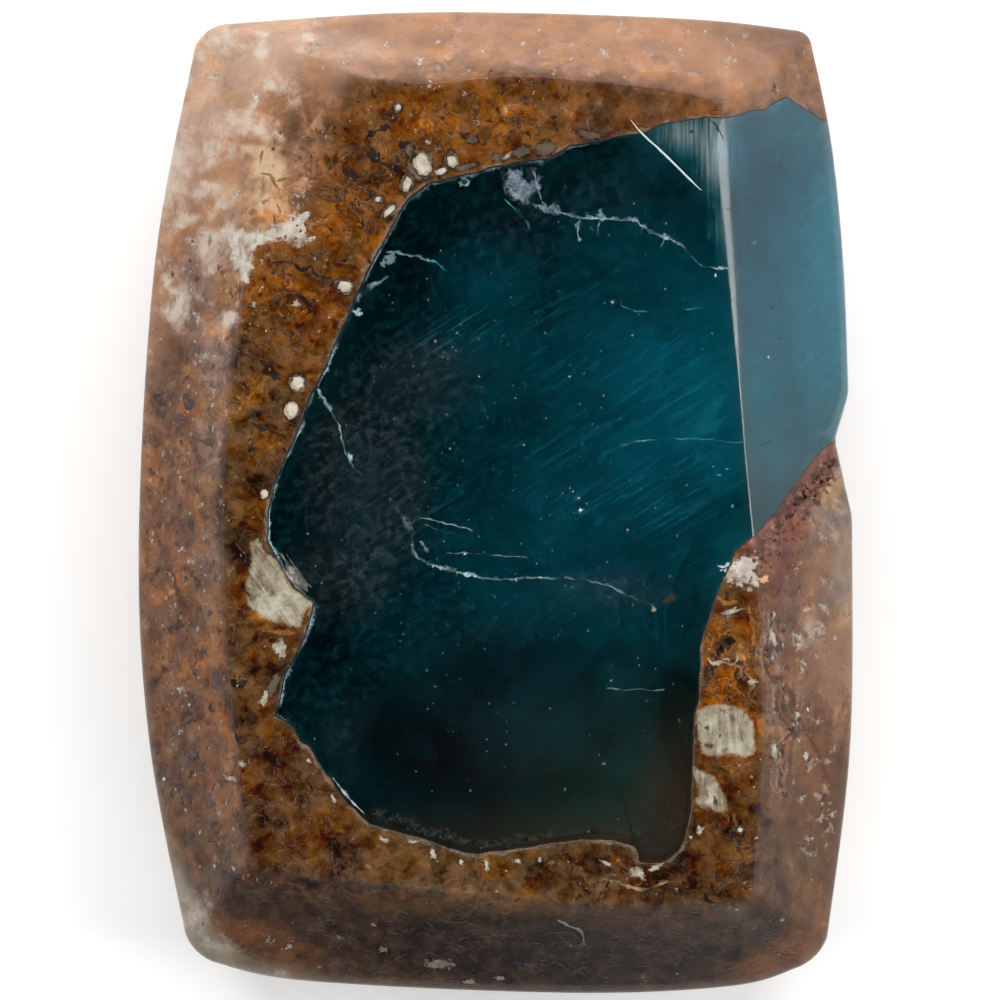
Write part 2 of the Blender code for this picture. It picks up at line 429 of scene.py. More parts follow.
for height in (wall_top, 0.0):
    first = len(wall_points)
    wall_points += [wall_flat(column, height) for column in range(ring_size + 1)]
    wall_lines += [(first + k, first + k + 1) for k in range(ring_size)]
wall_lines += [(0, ring_size + 1), (ring_size, 2 * ring_size + 1)]
first = len(wall_points)
wall_points += [wall_flat(c, h) for c, h in zip(window_columns[1:-1], window_heights[1:-1])]
wall_lines += [(first + k, first + k + 1) for k in range(len(window) - 3)]
wall_lines += [(first_column, first), (first + len(window) - 3, last_column)]
window_line = np.array([wall_flat(c, h) for c, h in zip(window_columns, window_heights)])
rows = np.array([wall_flat(column, height) for height in wall_levels[1:-1] for column in range(ring_size + 1)])
clear = distance_to(rows, window_line) > 0.035
seam_column = (rows[:, 0] == 0) | (rows[:, 0] == ring_size * column_width)
wall_points += [tuple(point) for point, ok in zip(rows, clear | seam_column) if ok]
wall_net = delaunay_2d_cdt([Vector(point) for point in wall_points], wall_lines, [], 1, 1e-7)
wall_flat_points = np.array([tuple(point) for point in wall_net[0]])
wall_faces = np.array([face for face in wall_net[2] if len(face) == 3])
wall_in_space = [wall_place(min(x / column_width, ring_size - 1e-9), y) for x, y in wall_flat_points]
window_loop = np.vstack([window_line, window_line[-1] + (0, 1), window_line[0] + (0, 1)])
in_window = inside(wall_flat_points[wall_faces].mean(1), window_loop)


def skin_mesh(of_crystal):
    """The outer skin of the crystal or of the chalcedony, open where the two meet."""
    skin = bmesh.new()
    top = [skin.verts.new((x, y, z)) for (x, y), z in zip(net_points, net_heights)]
    for face, crystal in zip(net_faces, in_crystal):
        if crystal == of_crystal:
            skin.faces.new([top[k] for k in face])
    sides = [skin.verts.new(point) for point in wall_in_space]
    for face, crystal in zip(wall_faces, in_window):
        if crystal == of_crystal:
            skin.faces.new([sides[k] for k in face])
    if not of_crystal:
        add_back(skin)
    bmesh.ops.delete(skin, geom=[v for v in skin.verts if not v.link_faces], context='VERTS')
    bmesh.ops.remove_doubles(skin, verts=skin.verts, dist=0.0008)
    return skin


def add_back(skin):
    """The flat sawn back, as a net of its own inside the wall's lowest ring."""
    edge = np.array([wall_place(column, 0.0)[:2] for column in range(ring_size)])
    spread = np.stack(np.meshgrid(np.arange(-6, 6, 0.2), np.arange(-9, 9, 0.2)), -1).reshape(-1, 2)
    spread = spread[inside(spread, edge) & (distance_to(spread, np.vstack([edge, edge[:1]])) > 0.1)]
    flat = [Vector(point) for point in edge] + [Vector(point) for point in spread]
    filled = delaunay_2d_cdt(flat, [(k, (k + 1) % ring_size) for k in range(ring_size)], [], 1, 1e-7)
    corners = [skin.verts.new((point.x, point.y, 0.0)) for point in filled[0]]
    for face in filled[2]:
        skin.faces.new([corners[k] for k in reversed(face)])


# The pocket. Below the surface the crystal's sides go down to a shoulder and slope in to its
# floor, which rises towards the lower right, where the crystal is thin. The chalcedony's pocket
# has the same faces. The crystal's own are a hair larger, so that no air shows between them.

crystal_centre = np.array((0.7, 0.3))
floor_scale = 0.80
floor_height = 2.6
shoulder_height = 4.4
thin_corner = np.array((3.6, -6.6))
thin_reach = 5.0
thin_rise = 3.1
pocket_steps = (0.02, 0.06, 0.12, 0.2, 0.3, 0.4, 0.5, 0.6, 0.7, 0.8, 0.9, 1.0)
seal = 0.03


def floor_at(x, y):
    """The height of the crystal's floor, which is uneven as the crystal grew."""
    near = 1 - math.dist((x, y), thin_corner) / thin_reach
    place = Vector((x, y, 0.0))
    rough = 0.30 * noise.noise(place * 0.5) + 0.12 * noise.noise(place * 1.3) + 0.05 * noise.noise(place * 3.1)
    return floor_height + thin_rise * max(near, 0.0) ** 0.8 + rough


def border_loop(skin):
    """The open edge of a skin, as its points in order."""
    links = {}
    for edge in skin.edges:
        if edge.is_boundary:
            for vert in edge.verts:
                links.setdefault(vert, []).append(edge.other_vert(vert))
    ordered = [next(iter(links))]
    ordered.append(links[ordered[0]][0])
    while True:
        one, other = links[ordered[-1]]
        onward = other if one is ordered[-2] else one
        if onward is ordered[0]:
            return ordered
        ordered.append(onward)


def line_pocket(skin, swell):
    """Close a skin with the pocket's faces, as material 1. Swell moves them into the chalcedony."""
    ordered = border_loop(skin)
    count = len(ordered)
    rims = np.array([tuple(vert.co) for vert in ordered])
    feet = crystal_centre + (rims[:, :2] - crystal_centre) * floor_scale
    floors = np.array([floor_at(x, y) for x, y in feet])
    foot = np.column_stack([feet, np.minimum(floors, rims[:, 2] - 0.25)])
    shoulder = rims.copy()
    shoulder[:, 2] = np.minimum(rims[:, 2], np.maximum(shoulder_height, (foot[:, 2] + rims[:, 2]) / 2))
    shoulder[:, :2] = crystal_centre + (rims[:, :2] - crystal_centre) * 0.985
    straight = np.linalg.norm(shoulder - rims, axis=1)
    slope = np.linalg.norm(foot - shoulder, axis=1)
    rings = [ordered]
    for step in pocket_steps:
        travelled = step * (straight + slope)
        first = np.clip(travelled / straight, 0, 1)[:, None]
        second = np.clip((travelled - straight) / slope, 0, 1)[:, None]
        points = rims + (shoulder - rims) * first + (foot - shoulder) * second
        rings.append([skin.verts.new(point) for point in points])
    lining = []
    for upper, lower in zip(rings, rings[1:]):
        for k in range(count):
            following = (k + 1) % count
            lining.append(skin.faces.new((upper[k], upper[following], lower[following], lower[k])))
    loop = foot[:, :2]
    spread = np.stack(np.meshgrid(np.arange(-6, 7, 0.16), np.arange(-7, 8, 0.16)), -1).reshape(-1, 2)
    spread = spread[inside(spread, loop) & (distance_to(spread, np.vstack([loop, loop[:1]])) > 0.1)]
    flat = [Vector(point) for point in loop] + [Vector(point) for point in spread]
    filled = delaunay_2d_cdt(flat, [(k, (k + 1) % count) for k in range(count)], [], 1, 1e-7)
    corners = []
    for point, origins in zip(filled[0], filled[3]):
        if origins and origins[0] < count:
            corners.append(rings[-1][origins[0]])
        else:
            height = min(floor_at(point.x, point.y), table_height - 0.25)
            corners.append(skin.verts.new((point.x, point.y, height)))
    for face in filled[2]:
        if len({corners[k] for k in face}) == 3:
            lining.append(skin.faces.new([corners[k] for k in face]))
    for face in lining:
        face.material_index = 1
    bmesh.ops.recalc_face_normals(skin, faces=skin.faces)
    if swell:
        hidden = {vert for face in lining for vert in face.verts} - set(ordered)
        moved = [(vert, vert.co + vert.normal * swell) for vert in hidden]
        for vert, goal in moved:
            vert.co = goal


def finish_mesh(name, skin, *finishes):
    """Turn a finished skin, in millimetres, into an object in metres."""
    bmesh.ops.scale(skin, vec=(MM, MM, MM), verts=skin.verts)
    mesh = bpy.data.meshes.new(name)
    skin.to_mesh(mesh)
    skin.free()
    mesh.shade_smooth()
    mesh.set_sharp_from_angle(angle=math.radians(30))
    piece = bpy.data.objects.new(name, mesh)
    bpy.context.collection.objects.link(piece)
    for finish in finishes:
        piece.data.materials.append(finish)
    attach(piece, "root")
    return piece


# The chalcedony itself: iron-stained agate, orange brown on the table, paler and dustier on the
# upper left bevels and corners, partly as a painted sheen and highlight, and umber below, darkened
# further on the bottom bevel as painted shade. Its colour is laid out in soft zones, and fine
# moss, threads, grains, specks and the rind along the crystal are worked into it.

# Each zone is its middle on the cut face, and the colour given there: the stone's own colour, lightened
# on the top bevel as a painted highlight and darkened on the bottom bevel as painted shade.
amber = (0.086, 0.0305, 0.0055)
honey = (0.055, 0.0230, 0.0060)
dark_honey = (0.042, 0.0165, 0.0045)
umber_and_shade = (0.023, 0.0112, 0.0062)
dusk_and_shade = (0.0105, 0.0042, 0.0018)
rust = (0.102, 0.039, 0.014)
russet = (0.088, 0.035, 0.013)
chestnut = (0.062, 0.026, 0.009)
dusty_rose = (0.125, 0.060, 0.032)
tawny = (0.150, 0.078, 0.046)
salmon = (0.215, 0.105, 0.056)
blush = (0.285, 0.175, 0.120)
fawn = (0.155, 0.106, 0.076)
ash = (0.165, 0.140, 0.112)
brick = (0.100, 0.034, 0.020)
zone_places = (
    ((-4.3, 2.2, 6.2), honey), ((-3.2, 3.2, 6.2), amber), ((-3.9, 4.2, 6.2), amber), ((-3.1, 5.2, 6.2), amber),
    ((-2.6, 6.3, 6.2), amber), ((-1.6, 7.0, 6.2), amber), ((0.2, 7.0, 6.2), amber), ((2.4, 7.2, 6.2), russet),
    ((-4.4, 0.4, 6.2), honey), ((-4.4, -3.2, 6.2), honey), ((-3.6, -5.7, 6.2), dark_honey),
    ((-3.5, -6.7, 6.2), dark_honey), ((-1.7, -6.7, 6.2), (0.062, 0.031, 0.012)), ((0.2, -6.9, 6.2), (0.058, 0.028, 0.010)),
    ((4.1, -6.6, 6.2), dark_honey), ((4.2, -2.4, 6.2), amber), ((4.6, -3.1, 6.2), amber), ((4.5, -5.3, 6.2), honey),
    ((-4.5, 6.9, 6.2), blush), ((-3.7, 7.4, 6.2), blush), ((-3.0, 8.0, 6.0), salmon), ((-3.7, 6.3, 6.2), salmon),
    ((-2.7, 7.55, 6.2), (0.125, 0.055, 0.022)), ((-3.15, 7.2, 6.12), (0.125, 0.055, 0.022)),
    ((-2.3, 7.2, 6.2), amber), ((-1.2, 7.6, 6.2), amber), ((3.7, -5.9, 6.2), dark_honey), ((4.5, -6.9, 6.2), dark_honey),
    ((-4.3, 5.6, 6.2), salmon), ((-4.9, 3.7, 5.95), tawny), ((-5.2, 2.1, 5.95), tawny), ((-5.25, -0.7, 5.95), dusty_rose),
    ((-5.1, -4.0, 5.95), rust), ((-4.8, -5.6, 5.95), rust), ((-5.6, -0.6, 5.4), rust), ((-5.7, -2.8, 5.3), russet),
    ((-5.7, 0.9, 5.3), rust), ((-5.9, 2.5, 5.2), russet), ((-5.6, 3.9, 5.3), tawny), ((-6.0, 4.7, 4.9), salmon),
    ((-5.6, 5.4, 5.3), salmon), ((-5.9, 6.5, 4.9), blush), ((-4.9, 7.6, 5.2), blush), ((-5.1, 6.8, 5.6), salmon),
    ((-5.6, -4.4, 5.2), russet), ((-5.7, -5.5, 5.1), chestnut), ((-5.5, -6.5, 5.1), chestnut),
    # The top bevel's blush and salmon are lightened as a painted highlight, and the bottom bevel's umber and near-black
    # browns are darkened as painted shade.
    ((-5.1, 8.3, 4.9), blush), ((-3.0, 8.3, 5.3), blush), ((-1.5, 8.5, 5.1), salmon), ((0.4, 8.3, 5.3), salmon),
    ((2.2, 8.3, 5.3), salmon), ((4.0, 8.1, 5.3), salmon), ((-4.3, -8.0, 5.1), russet), ((-4.5, -7.3, 5.7), umber_and_shade),
    ((-3.0, -7.9, 5.3), umber_and_shade), ((-0.6, -8.0, 5.3), (0.0125, 0.0056, 0.0028)), ((1.0, -8.1, 5.3), (0.0090, 0.0038, 0.0018)),
    ((2.6, -8.0, 5.3), dusk_and_shade), ((3.6, -8.2, 5.2), (0.0165, 0.0072, 0.0036)), ((4.4, -7.9, 5.4), umber_and_shade),
    ((5.2, -3.5, 5.6), dusty_rose), ((5.2, -2.5, 5.7), (0.105, 0.047, 0.027)), ((6.1, -2.5, 4.9), tawny),
    ((5.8, -4.7, 5.2), rust), ((5.5, -6.2, 5.3), chestnut), ((6.1, -6.0, 4.8), chestnut), ((5.3, -7.3, 5.2), chestnut),
    ((5.5, 0.0, 5.5), brick), ((5.1, -0.7, 5.8), brick), ((5.9, -0.9, 5.1), tawny), ((6.2, -0.5, 4.9), fawn),
    ((6.3, -1.6, 4.8), fawn), ((-5.6, -8.0, 4.8), ash), ((5.5, 7.7, 5.0), dusty_rose), ((5.6, -8.2, 4.9), russet),
    ((-6.3, 0.0, 2.5), rust), ((-6.1, 5.0, 2.5), salmon), ((-6.1, -5.0, 2.5), russet),
    ((0.0, 8.9, 2.5), salmon), ((0.0, -8.8, 2.5), honey), ((6.4, -4.0, 2.5), dusty_rose), ((6.3, 4.0, 1.6), amber),
    ((0.0, 0.0, 0.0), russet), ((0.0, 5.5, 0.0), honey), ((0.0, -5.5, 0.0), amber),
)
depth_weight = 4.0
edge_step = 0.6
zone_sharpness = 5.0

# Where the stone is clouded and its pattern is soft: middle, and how far the cloud reaches
clouds = (((-5.6, 6.4, 5.2), 1.9), ((-4.2, 8.3, 5.2), 1.6), ((-2.0, 8.5, 5.1), 1.2), ((0.0, 8.5, 5.1), 1.1),
          ((2.0, 8.5, 5.1), 1.2), ((4.0, 8.4, 5.0), 1.6), ((-5.6, -8.0, 4.9), 1.2), ((6.1, -5.6, 4.9), 1.5),
          ((6.1, -2.8, 4.9), 0.9), ((6.3, -1.2, 4.9), 0.8), ((-6.3, 3.4, 5.0), 0.9), ((-2.9, 7.9, 5.95), 0.9))
# Pale quartz clouds under the polish, on the upper left bevels and corner also a painted sheen: middle, reach, and how
# much there is
mists_and_sheen = (((-6.0, 6.1), (0.35, 1.0), 0.9), ((-5.7, 3.65), (0.34, 0.46), 0.85), ((-5.40, 2.62), (0.24, 0.14), 0.7),
         ((-5.25, 4.75), (0.34, 0.40), 0.8), ((-4.16, 6.12), (0.36, 0.52), 1.1), ((-4.00, 5.50), (0.36, 0.24), 0.7),
         ((-4.9, 5.6), (0.34, 0.30), 0.65), ((-4.7, 6.9), (0.7, 0.45), 0.5), ((-3.9, 7.5), (0.6, 0.4), 0.5),
         ((-5.9, 7.3), (0.3, 0.6), 0.5),
         ((-5.5, -7.5), (0.46, 0.44), 0.62), ((-5.1, -8.1), (0.46, 0.26), 0.5), ((5.7, -2.4), (0.20, 0.50), 0.6),
         ((6.2, -0.6), (0.20, 0.60), 0.5), ((-4.6, 5.2), (0.5, 0.4), 0.45), ((6.2, 0.0), (0.14, 0.3), 0.5))
# Small crumbs of the same quartz, strewn over the upper left, where they add to the painted sheen
random.seed(5)
for _ in range(110):
    x, y, size = random.uniform(-6.2, -3.4), random.uniform(3.2, 8.6), random.uniform(0.06, 0.22)
    if x < 0.35 * y - 6.0:
        mists_and_sheen += (((x, y), (size, size * random.uniform(0.6, 1.5)), random.uniform(0.5, 1.0)),)
warm_mist_and_sheen = (0.36, 0.255, 0.155)
cool_mist_and_sheen = (0.38, 0.315, 0.260)
# Where moss curls through it most: middle, reach, and how much there is
mossy = (((-2.6, 6.2, 6.2), 2.2, 1.0), ((-4.0, 3.6, 6.2), 1.7, 0.9), ((-4.2, 1.8, 6.2), 1.5, 0.8),
         ((-4.5, -0.4, 6.2), 1.2, 0.7), ((4.4, -3.2, 6.2), 1.6, 1.0), ((4.5, -6.0, 6.2), 1.2, 0.9),
         ((2.0, -7.1, 6.2), 1.4, 0.7), ((0.4, 7.0, 6.2), 1.4, 0.7), ((-4.6, -3.4, 6.2), 1.1, 0.7),
         ((5.4, -4.0, 5.6), 1.6, 0.7), ((-5.8, 1.4, 5.4), 2.0, 0.6), ((-5.6, -3.4, 5.4), 2.0, 0.6),
         ((0.0, -8.0, 5.3), 2.6, 0.45), ((0.5, 8.2, 5.3), 2.0, 0.35), ((0.0, 0.0, 0.0), 4.5, 0.9),
         ((6.4, -3.0, 2.5), 3.5, 0.9), ((-6.3, 2.0, 2.5), 4.0, 0.8), ((0.0, -8.8, 2.5), 3.5, 0.9))
# The reddish grit along the contact, where it crosses the right bevel
grit_line = ((6.25, 0.95), (5.75, 0.45), (5.35, -0.10), (5.05, -0.48), (4.80, -0.80), (4.62, -1.12))

random.seed(11)
stone = skin_mesh(False)
line_pocket(stone, 0.0)
stone.verts.ensure_lookup_table()
spots = np.array([tuple(vert.co) for vert in stone.verts])
plan = spots[:, :2]
on_crown = spots[:, 2] > wall_top - 0.02


def on_table(points):
    """Which points lie on the flat table."""
    return points[:, 2] > table_height - 0.025


def zoned(points):
    """The zones' colours, blended by how near each of them is. The table's end at its edge."""
    places = np.array([place for place, colour in zone_places])
    colours = np.array([colour for place, colour in zone_places])
    gap = np.abs(points[:, None, :] - places[None])
    apart = on_table(points)[:, None] != on_table(places)[None]
    gap[:, :, 2] += edge_step * (1 - 0.85 * clouded(points)[:, None]) * apart
    gap[:, :, 2] *= depth_weight
    weight = 1 / (np.linalg.norm(gap, axis=2) ** zone_sharpness + 0.05)
    return (weight[:, :, None] * colours[None]).sum(1) / weight.sum(1)[:, None]


def clouded(points):
    """How clouded the stone is, from 0 to 1. All of the bottom bevel is half clouded."""
    most = np.where((points[:, 1] < -7.2) & ~on_table(points), 0.55, 0.0)
    for place, reach in clouds:
        most = np.maximum(most, np.exp(-(((points - place) / reach) ** 2).sum(1)))
    return most


def mist_and_sheen_amount(points):
    """How much pale quartz shows under the polish, with the painted sheen of the upper left, from 0 to 1."""
    most = np.zeros(len(points))
    for middle, reach, amount in mists_and_sheen:
        most = np.maximum(most, amount * np.exp(-(((points[:, :2] - middle) / reach) ** 2).sum(1)))
    return most


def moss_amount(points):
    """How much moss the stone holds, from 0 to 1."""
    most = np.full(len(points), 0.12)
    for place, reach, amount in mossy:
        most = np.maximum(most, amount * np.exp(-(((points - place) / reach) ** 2).sum(1)))
    return most


def strewn_distance(loops, extra, sizes):
    """How far each point lies outside the nearest patch. Extra ones are strewn on the walls and back."""
    gap = np.where(on_crown, patch_distance(plan, loops), 9.0)
    below = spots[~on_crown]
    for _ in range(extra):
        middle = below[random.randrange(len(below))]
        stretch = np.array((1.0, random.uniform(0.6, 1.0), random.uniform(0.6, 1.0)))
        strewn = np.linalg.norm((below - middle) / stretch, axis=1) - random.choice(sizes)
        gap[~on_crown] = np.minimum(gap[~on_crown], strewn)
    return gap


def rind_distance():
    """How far each point lies from the contact with the crystal."""
    rims = border_points
    tree = KDTree(len(rims))
    for index, rim in enumerate(rims):
        tree.insert(rim, index)
    tree.balance()
    return np.array([tree.find(point)[2] for point in spots])


contact_in_space = [Vector((x, y, z)) for (x, y), z in zip(contact, contact_heights)]
window_in_space = [Vector(wall_place(column, height)) for column, height in zip(window_columns, window_heights)]
border_points = contact_in_space + window_in_space


def keep(mesh, name, values):
    """Store one value, or one colour, for each point of a mesh."""
    values = np.asarray(values, float)
    if values.ndim == 1:
        mesh.attributes.new(name, 'FLOAT', 'POINT').data.foreach_set("value", values)
    else:
        colours = np.column_stack([values, np.ones(len(values))])
        mesh.attributes.new(name, 'FLOAT_COLOR', 'POINT').data.foreach_set("color", colours.ravel())


class Finish:
    """A material that is built up from nodes."""

    def __init__(self, name):
        self.material = bpy.data.materials.new(name)
        self.material.use_nodes = True
        self.tree = self.material.node_tree
        self.shader = self.tree.nodes["Principled BSDF"]

    def node(self, kind, inputs, output=0, **settings):
        """A node, by its output. Each input is a value or another node's output."""
        made = self.tree.nodes.new(kind)
        for setting, value in settings.items():
            setattr(made, setting, value)
        for key, value in inputs.items():
            self.put(made.inputs[key], value)
        return made.outputs[output]

    def put(self, socket, value):
        """Give a socket a value, or link another node's output to it."""
        if isinstance(value, bpy.types.NodeSocket):
            self.tree.links.new(value, socket)
        else:
            socket.default_value = value

    def surface(self, **sockets):
        """The shader's own sockets, by name with underscores for spaces."""
        for name, value in sockets.items():
            self.put(self.shader.inputs[name.replace("_", " ")], value)

    def sum(self, operation, *values):
        """One step of arithmetic."""
        return self.node("ShaderNodeMath", dict(enumerate(values)), operation=operation)

    def vector(self, operation, first, second):
        """One step of vector arithmetic. The second value of a scaling is its factor."""
        key = "Scale" if operation == 'SCALE' else 1
        return self.node("ShaderNodeVectorMath", {0: first, key: second}, operation=operation)

    def step(self, value, low, high, bottom=0.0, top=1.0):
        """A soft step from bottom to top as value goes from low to high."""
        inputs = {0: value, 1: low, 2: high, 3: bottom, 4: top}
        return self.node("ShaderNodeMapRange", inputs, interpolation_type='SMOOTHSTEP')

    def blend(self, amount, first, second, how='MIX'):
        """One colour over another."""
        inputs = {0: amount, 6: first, 7: second}
        return self.node("ShaderNodeMix", inputs, 2, data_type='RGBA', blend_type=how)

    def place(self, offset=(0.0, 0.0, 0.0), stretch=(1.0, 1.0, 1.0), turn=0.0):
        """Coordinates in millimetres, moved, stretched and turned about the upright axis."""
        metres = self.node("ShaderNodeTexCoord", {}, "Object")
        inputs = {0: metres, 1: tuple(-part * MM for part in offset), 2: (0.0, 0.0, math.radians(turn)),
                  3: tuple(part * MM for part in stretch)}
        return self.node("ShaderNodeMapping", inputs, vector_type='TEXTURE')

    def grain(self, place, scale, detail=4.0, roughness=0.55, output=0):
        """A cloudy pattern of 0 to 1, with scale features to a millimetre."""
        inputs = {"Vector": place, "Scale": scale, "Detail": detail, "Roughness": roughness}
        return self.node("ShaderNodeTexNoise", inputs, output)

    def warped(self, place, scale, reach):
        """Coordinates pushed about, so that patterns laid on them run in curls."""
        push = self.vector('SUBTRACT', self.grain(place, scale, 3.0, output="Color"), (0.5, 0.5, 0.5))
        return self.vector('ADD', place, self.vector('SCALE', push, reach))

    def cells(self, place, scale, feature='F1', output="Distance"):
        """A pattern of cells."""
        return self.node("ShaderNodeTexVoronoi", {"Vector": place, "Scale": scale}, output, feature=feature)

    def ramp(self, value, stops):
        """Colours along a scale of 0 to 1, each stop a position and a colour."""
        made = self.tree.nodes.new("ShaderNodeValToRGB")
        self.tree.links.new(value, made.inputs[0])
        bands = made.color_ramp.elements
        bands[0].position, bands[1].position = stops[0][0], stops[-1][0]
        for position, colour in stops[1:-1]:
            bands.new(position)
        for band, (position, colour) in zip(bands, stops):
            band.color = (*colour, 1.0)
        return made.outputs["Color"]

    def known(self, name, output="Fac"):
        """A value or colour that the mesh holds for each of its points."""
        return self.node("ShaderNodeAttribute", {}, output, attribute_name=name)

    def relief(self, height, depth, strength=1.0):
        """Fine relief, depth in metres."""
        self.surface(Normal=self.node("ShaderNodeBump", {"Height": height, "Distance": depth, "Strength": strength}))


chalcedony = Finish("moss_chalcedony")
place = chalcedony.place()
swirled = chalcedony.warped(place, 0.8, 1.0)
curled = chalcedony.warped(swirled, 2.4, 0.42)
tightly_curled = chalcedony.warped(place, 3.2, 0.30)
cloud = chalcedony.known("cloud")
bevel = chalcedony.known("bevel")
crisp = chalcedony.sum('SUBTRACT', 1.0, cloud)
moss = chalcedony.sum('MULTIPLY', chalcedony.known("moss"), crisp)

# Broad tone and marbling, as a gain on the zone's colour
broad = chalcedony.grain(swirled, 0.9, 5.0)
marbling = chalcedony.grain(curled, 1.7, 4.0, 0.6)
fine = chalcedony.grain(place, 12.0, 3.0, 0.6)
tone = chalcedony.sum('ADD', chalcedony.sum('MULTIPLY', broad, 0.4), chalcedony.sum('MULTIPLY', marbling, 0.6))
swing = chalcedony.sum('MULTIPLY_ADD', bevel, -1.6, chalcedony.sum('MULTIPLY_ADD', cloud, -2.4, 5.4))
gain = chalcedony.sum('POWER', 2.718, chalcedony.sum('MULTIPLY', chalcedony.sum('SUBTRACT', tone, 0.5), swing))
colour = chalcedony.vector('SCALE', chalcedony.known("zone", "Color"), gain)

# Moss agate: curled bands and eyes of near black, brown, orange and tan
agate_stops = (
    (0.28, (0.13, 0.13, 0.13)), (0.37, (0.20, 0.20, 0.19)), (0.415, (0.36, 0.35, 0.34)), (0.45, (0.60, 0.57, 0.50)),
    (0.475, (0.46, 0.45, 0.44)), (0.50, (0.64, 0.60, 0.50)), (0.522, (0.49, 0.49, 0.49)), (0.55, (0.40, 0.37, 0.32)),
    (0.575, (0.22, 0.21, 0.21)), (0.60, (0.56, 0.53, 0.46)), (0.65, (0.78, 0.84, 0.92)), (0.74, (0.95, 1.0, 1.1)),
)
agate = chalcedony.vector('SCALE', chalcedony.ramp(chalcedony.grain(curled, 2.0, 5.0, 0.55), agate_stops), 2.3)
colour = chalcedony.blend(moss, colour, chalcedony.vector('MULTIPLY', colour, agate))

# It turns plum grey in some places and ochre in others
hue = chalcedony.grain(chalcedony.warped(chalcedony.place((3.0, 8.0, 1.0)), 1.6, 0.5), 1.5, 3.0)
turned = chalcedony.blend(chalcedony.step(hue, 0.36, 0.64), (0.84, 0.93, 1.20, 1.0), (1.18, 1.04, 0.66, 1.0))
colour = chalcedony.vector('MULTIPLY', colour, chalcedony.blend(cloud, turned, (1.0, 1.0, 1.0, 1.0)))

# A fine grey weave of quartz fibres lies over all of it
weave = chalcedony.sum('SUBTRACT', chalcedony.grain(tightly_curled, 3.0, 5.0, 0.66), 0.5)
weave = chalcedony.sum('MULTIPLY', weave, chalcedony.sum('MULTIPLY_ADD', cloud, -0.95, 1.15))
colour = chalcedony.vector('ADD', colour, chalcedony.vector('SCALE', (0.195, 0.120, 0.062), weave))
colour = chalcedony.vector('MAXIMUM', colour, (0.005, 0.0025, 0.0015))

# Dark inclusions with ragged rims, and fine dark lines round some of the bands
dark_moss = (0.015, 0.0085, 0.0055, 1.0)
clump = chalcedony.grain(chalcedony.warped(swirled, 4.0, 0.22), 1.9, 5.0, 0.62)
clump = chalcedony.step(clump, 0.60, 0.65, 0.0, 0.85)
colour = chalcedony.blend(chalcedony.sum('MULTIPLY', clump, moss), colour, dark_moss)
ridge = chalcedony.sum('ABSOLUTE', chalcedony.sum('SUBTRACT', chalcedony.grain(curled, 1.5, 4.0, 0.5), 0.5))
filament = chalcedony.sum('MULTIPLY', chalcedony.step(ridge, 0.004, 0.024, 0.85, 0.0), chalcedony.step(broad, 0.46, 0.54))
colour = chalcedony.blend(chalcedony.sum('MULTIPLY', filament, moss), colour, dark_moss)
blotch = chalcedony.grain(chalcedony.warped(chalcedony.place((5.0, 2.0, 1.0)), 3.0, 0.3), 2.4, 4.0, 0.6)
blotch = chalcedony.sum('MULTIPLY', chalcedony.step(blotch, 0.60, 0.64, 0.0, 0.55), chalcedony.sum('MULTIPLY', bevel, crisp))
colour = chalcedony.blend(blotch, colour, chalcedony.vector('MULTIPLY', colour, (0.40, 0.46, 0.56)))
pale = chalcedony.step(chalcedony.grain(chalcedony.warped(place, 5.0, 0.16), 3.4, 5.0, 0.62), 0.62, 0.68, 0.0, 0.6)
colour = chalcedony.blend(chalcedony.sum('MULTIPLY', pale, crisp), colour, chalcedony.vector('MULTIPLY', colour, (2.1, 2.7, 3.8)))

# Pale quartz clouds under the polish, on the upper left also a painted sheen
frayed = chalcedony.sum('SUBTRACT', chalcedony.grain(chalcedony.warped(place, 4.0, 0.25), 3.4, 6.0, 0.7), 0.5)
mist_and_sheen = chalcedony.sum('MULTIPLY_ADD', chalcedony.sum('SUBTRACT', marbling, 0.5), 1.0, chalcedony.known("mist_and_sheen"))
mist_and_sheen = chalcedony.step(chalcedony.sum('MULTIPLY_ADD', frayed, 1.3, mist_and_sheen), 0.25, 0.95, 0.0, 0.92)
colour = chalcedony.blend(mist_and_sheen, colour, chalcedony.known("mist_and_sheen_colour", "Color"))

# The rind along the crystal: a hairline gap, a grey translucent band, and a tan edge
ragged = chalcedony.sum('SUBTRACT', chalcedony.grain(place, 5.0, 4.0, 0.6), 0.5)
clear_agate = chalcedony.blend(chalcedony.step(marbling, 0.38, 0.62), (0.034, 0.025, 0.017, 1.0), (0.090, 0.066, 0.042, 1.0))
rind_edge = chalcedony.sum('MULTIPLY_ADD', ragged, 0.22, chalcedony.known("rind"))
rind = chalcedony.step(rind_edge, 0.05, 0.13, 0.75, 0.0)
colour = chalcedony.blend(rind, colour, chalcedony.blend(0.45, clear_agate, colour))
tan_edge = chalcedony.sum('MULTIPLY', chalcedony.step(rind_edge, 0.02, 0.05), chalcedony.step(rind_edge, 0.05, 0.08, 0.6, 0.0))
tan_edge = chalcedony.sum('MULTIPLY', tan_edge, chalcedony.step(marbling, 0.49, 0.56))
colour = chalcedony.blend(tan_edge, colour, (0.17, 0.13, 0.09, 1.0))

# Reddish grit on the right bevel, a chain of wet-looking grains, each painted lighter in its middle as a highlight and
# darker at its rim as shade in the gaps
grit_edge = chalcedony.sum('MULTIPLY_ADD', ragged, 0.40, chalcedony.known("grit"))
gritty = chalcedony.step(grit_edge, 0.16, 0.30, 0.95, 0.0)
crumbs = chalcedony.cells(chalcedony.warped(place, 4.0, 0.20), 4.6)
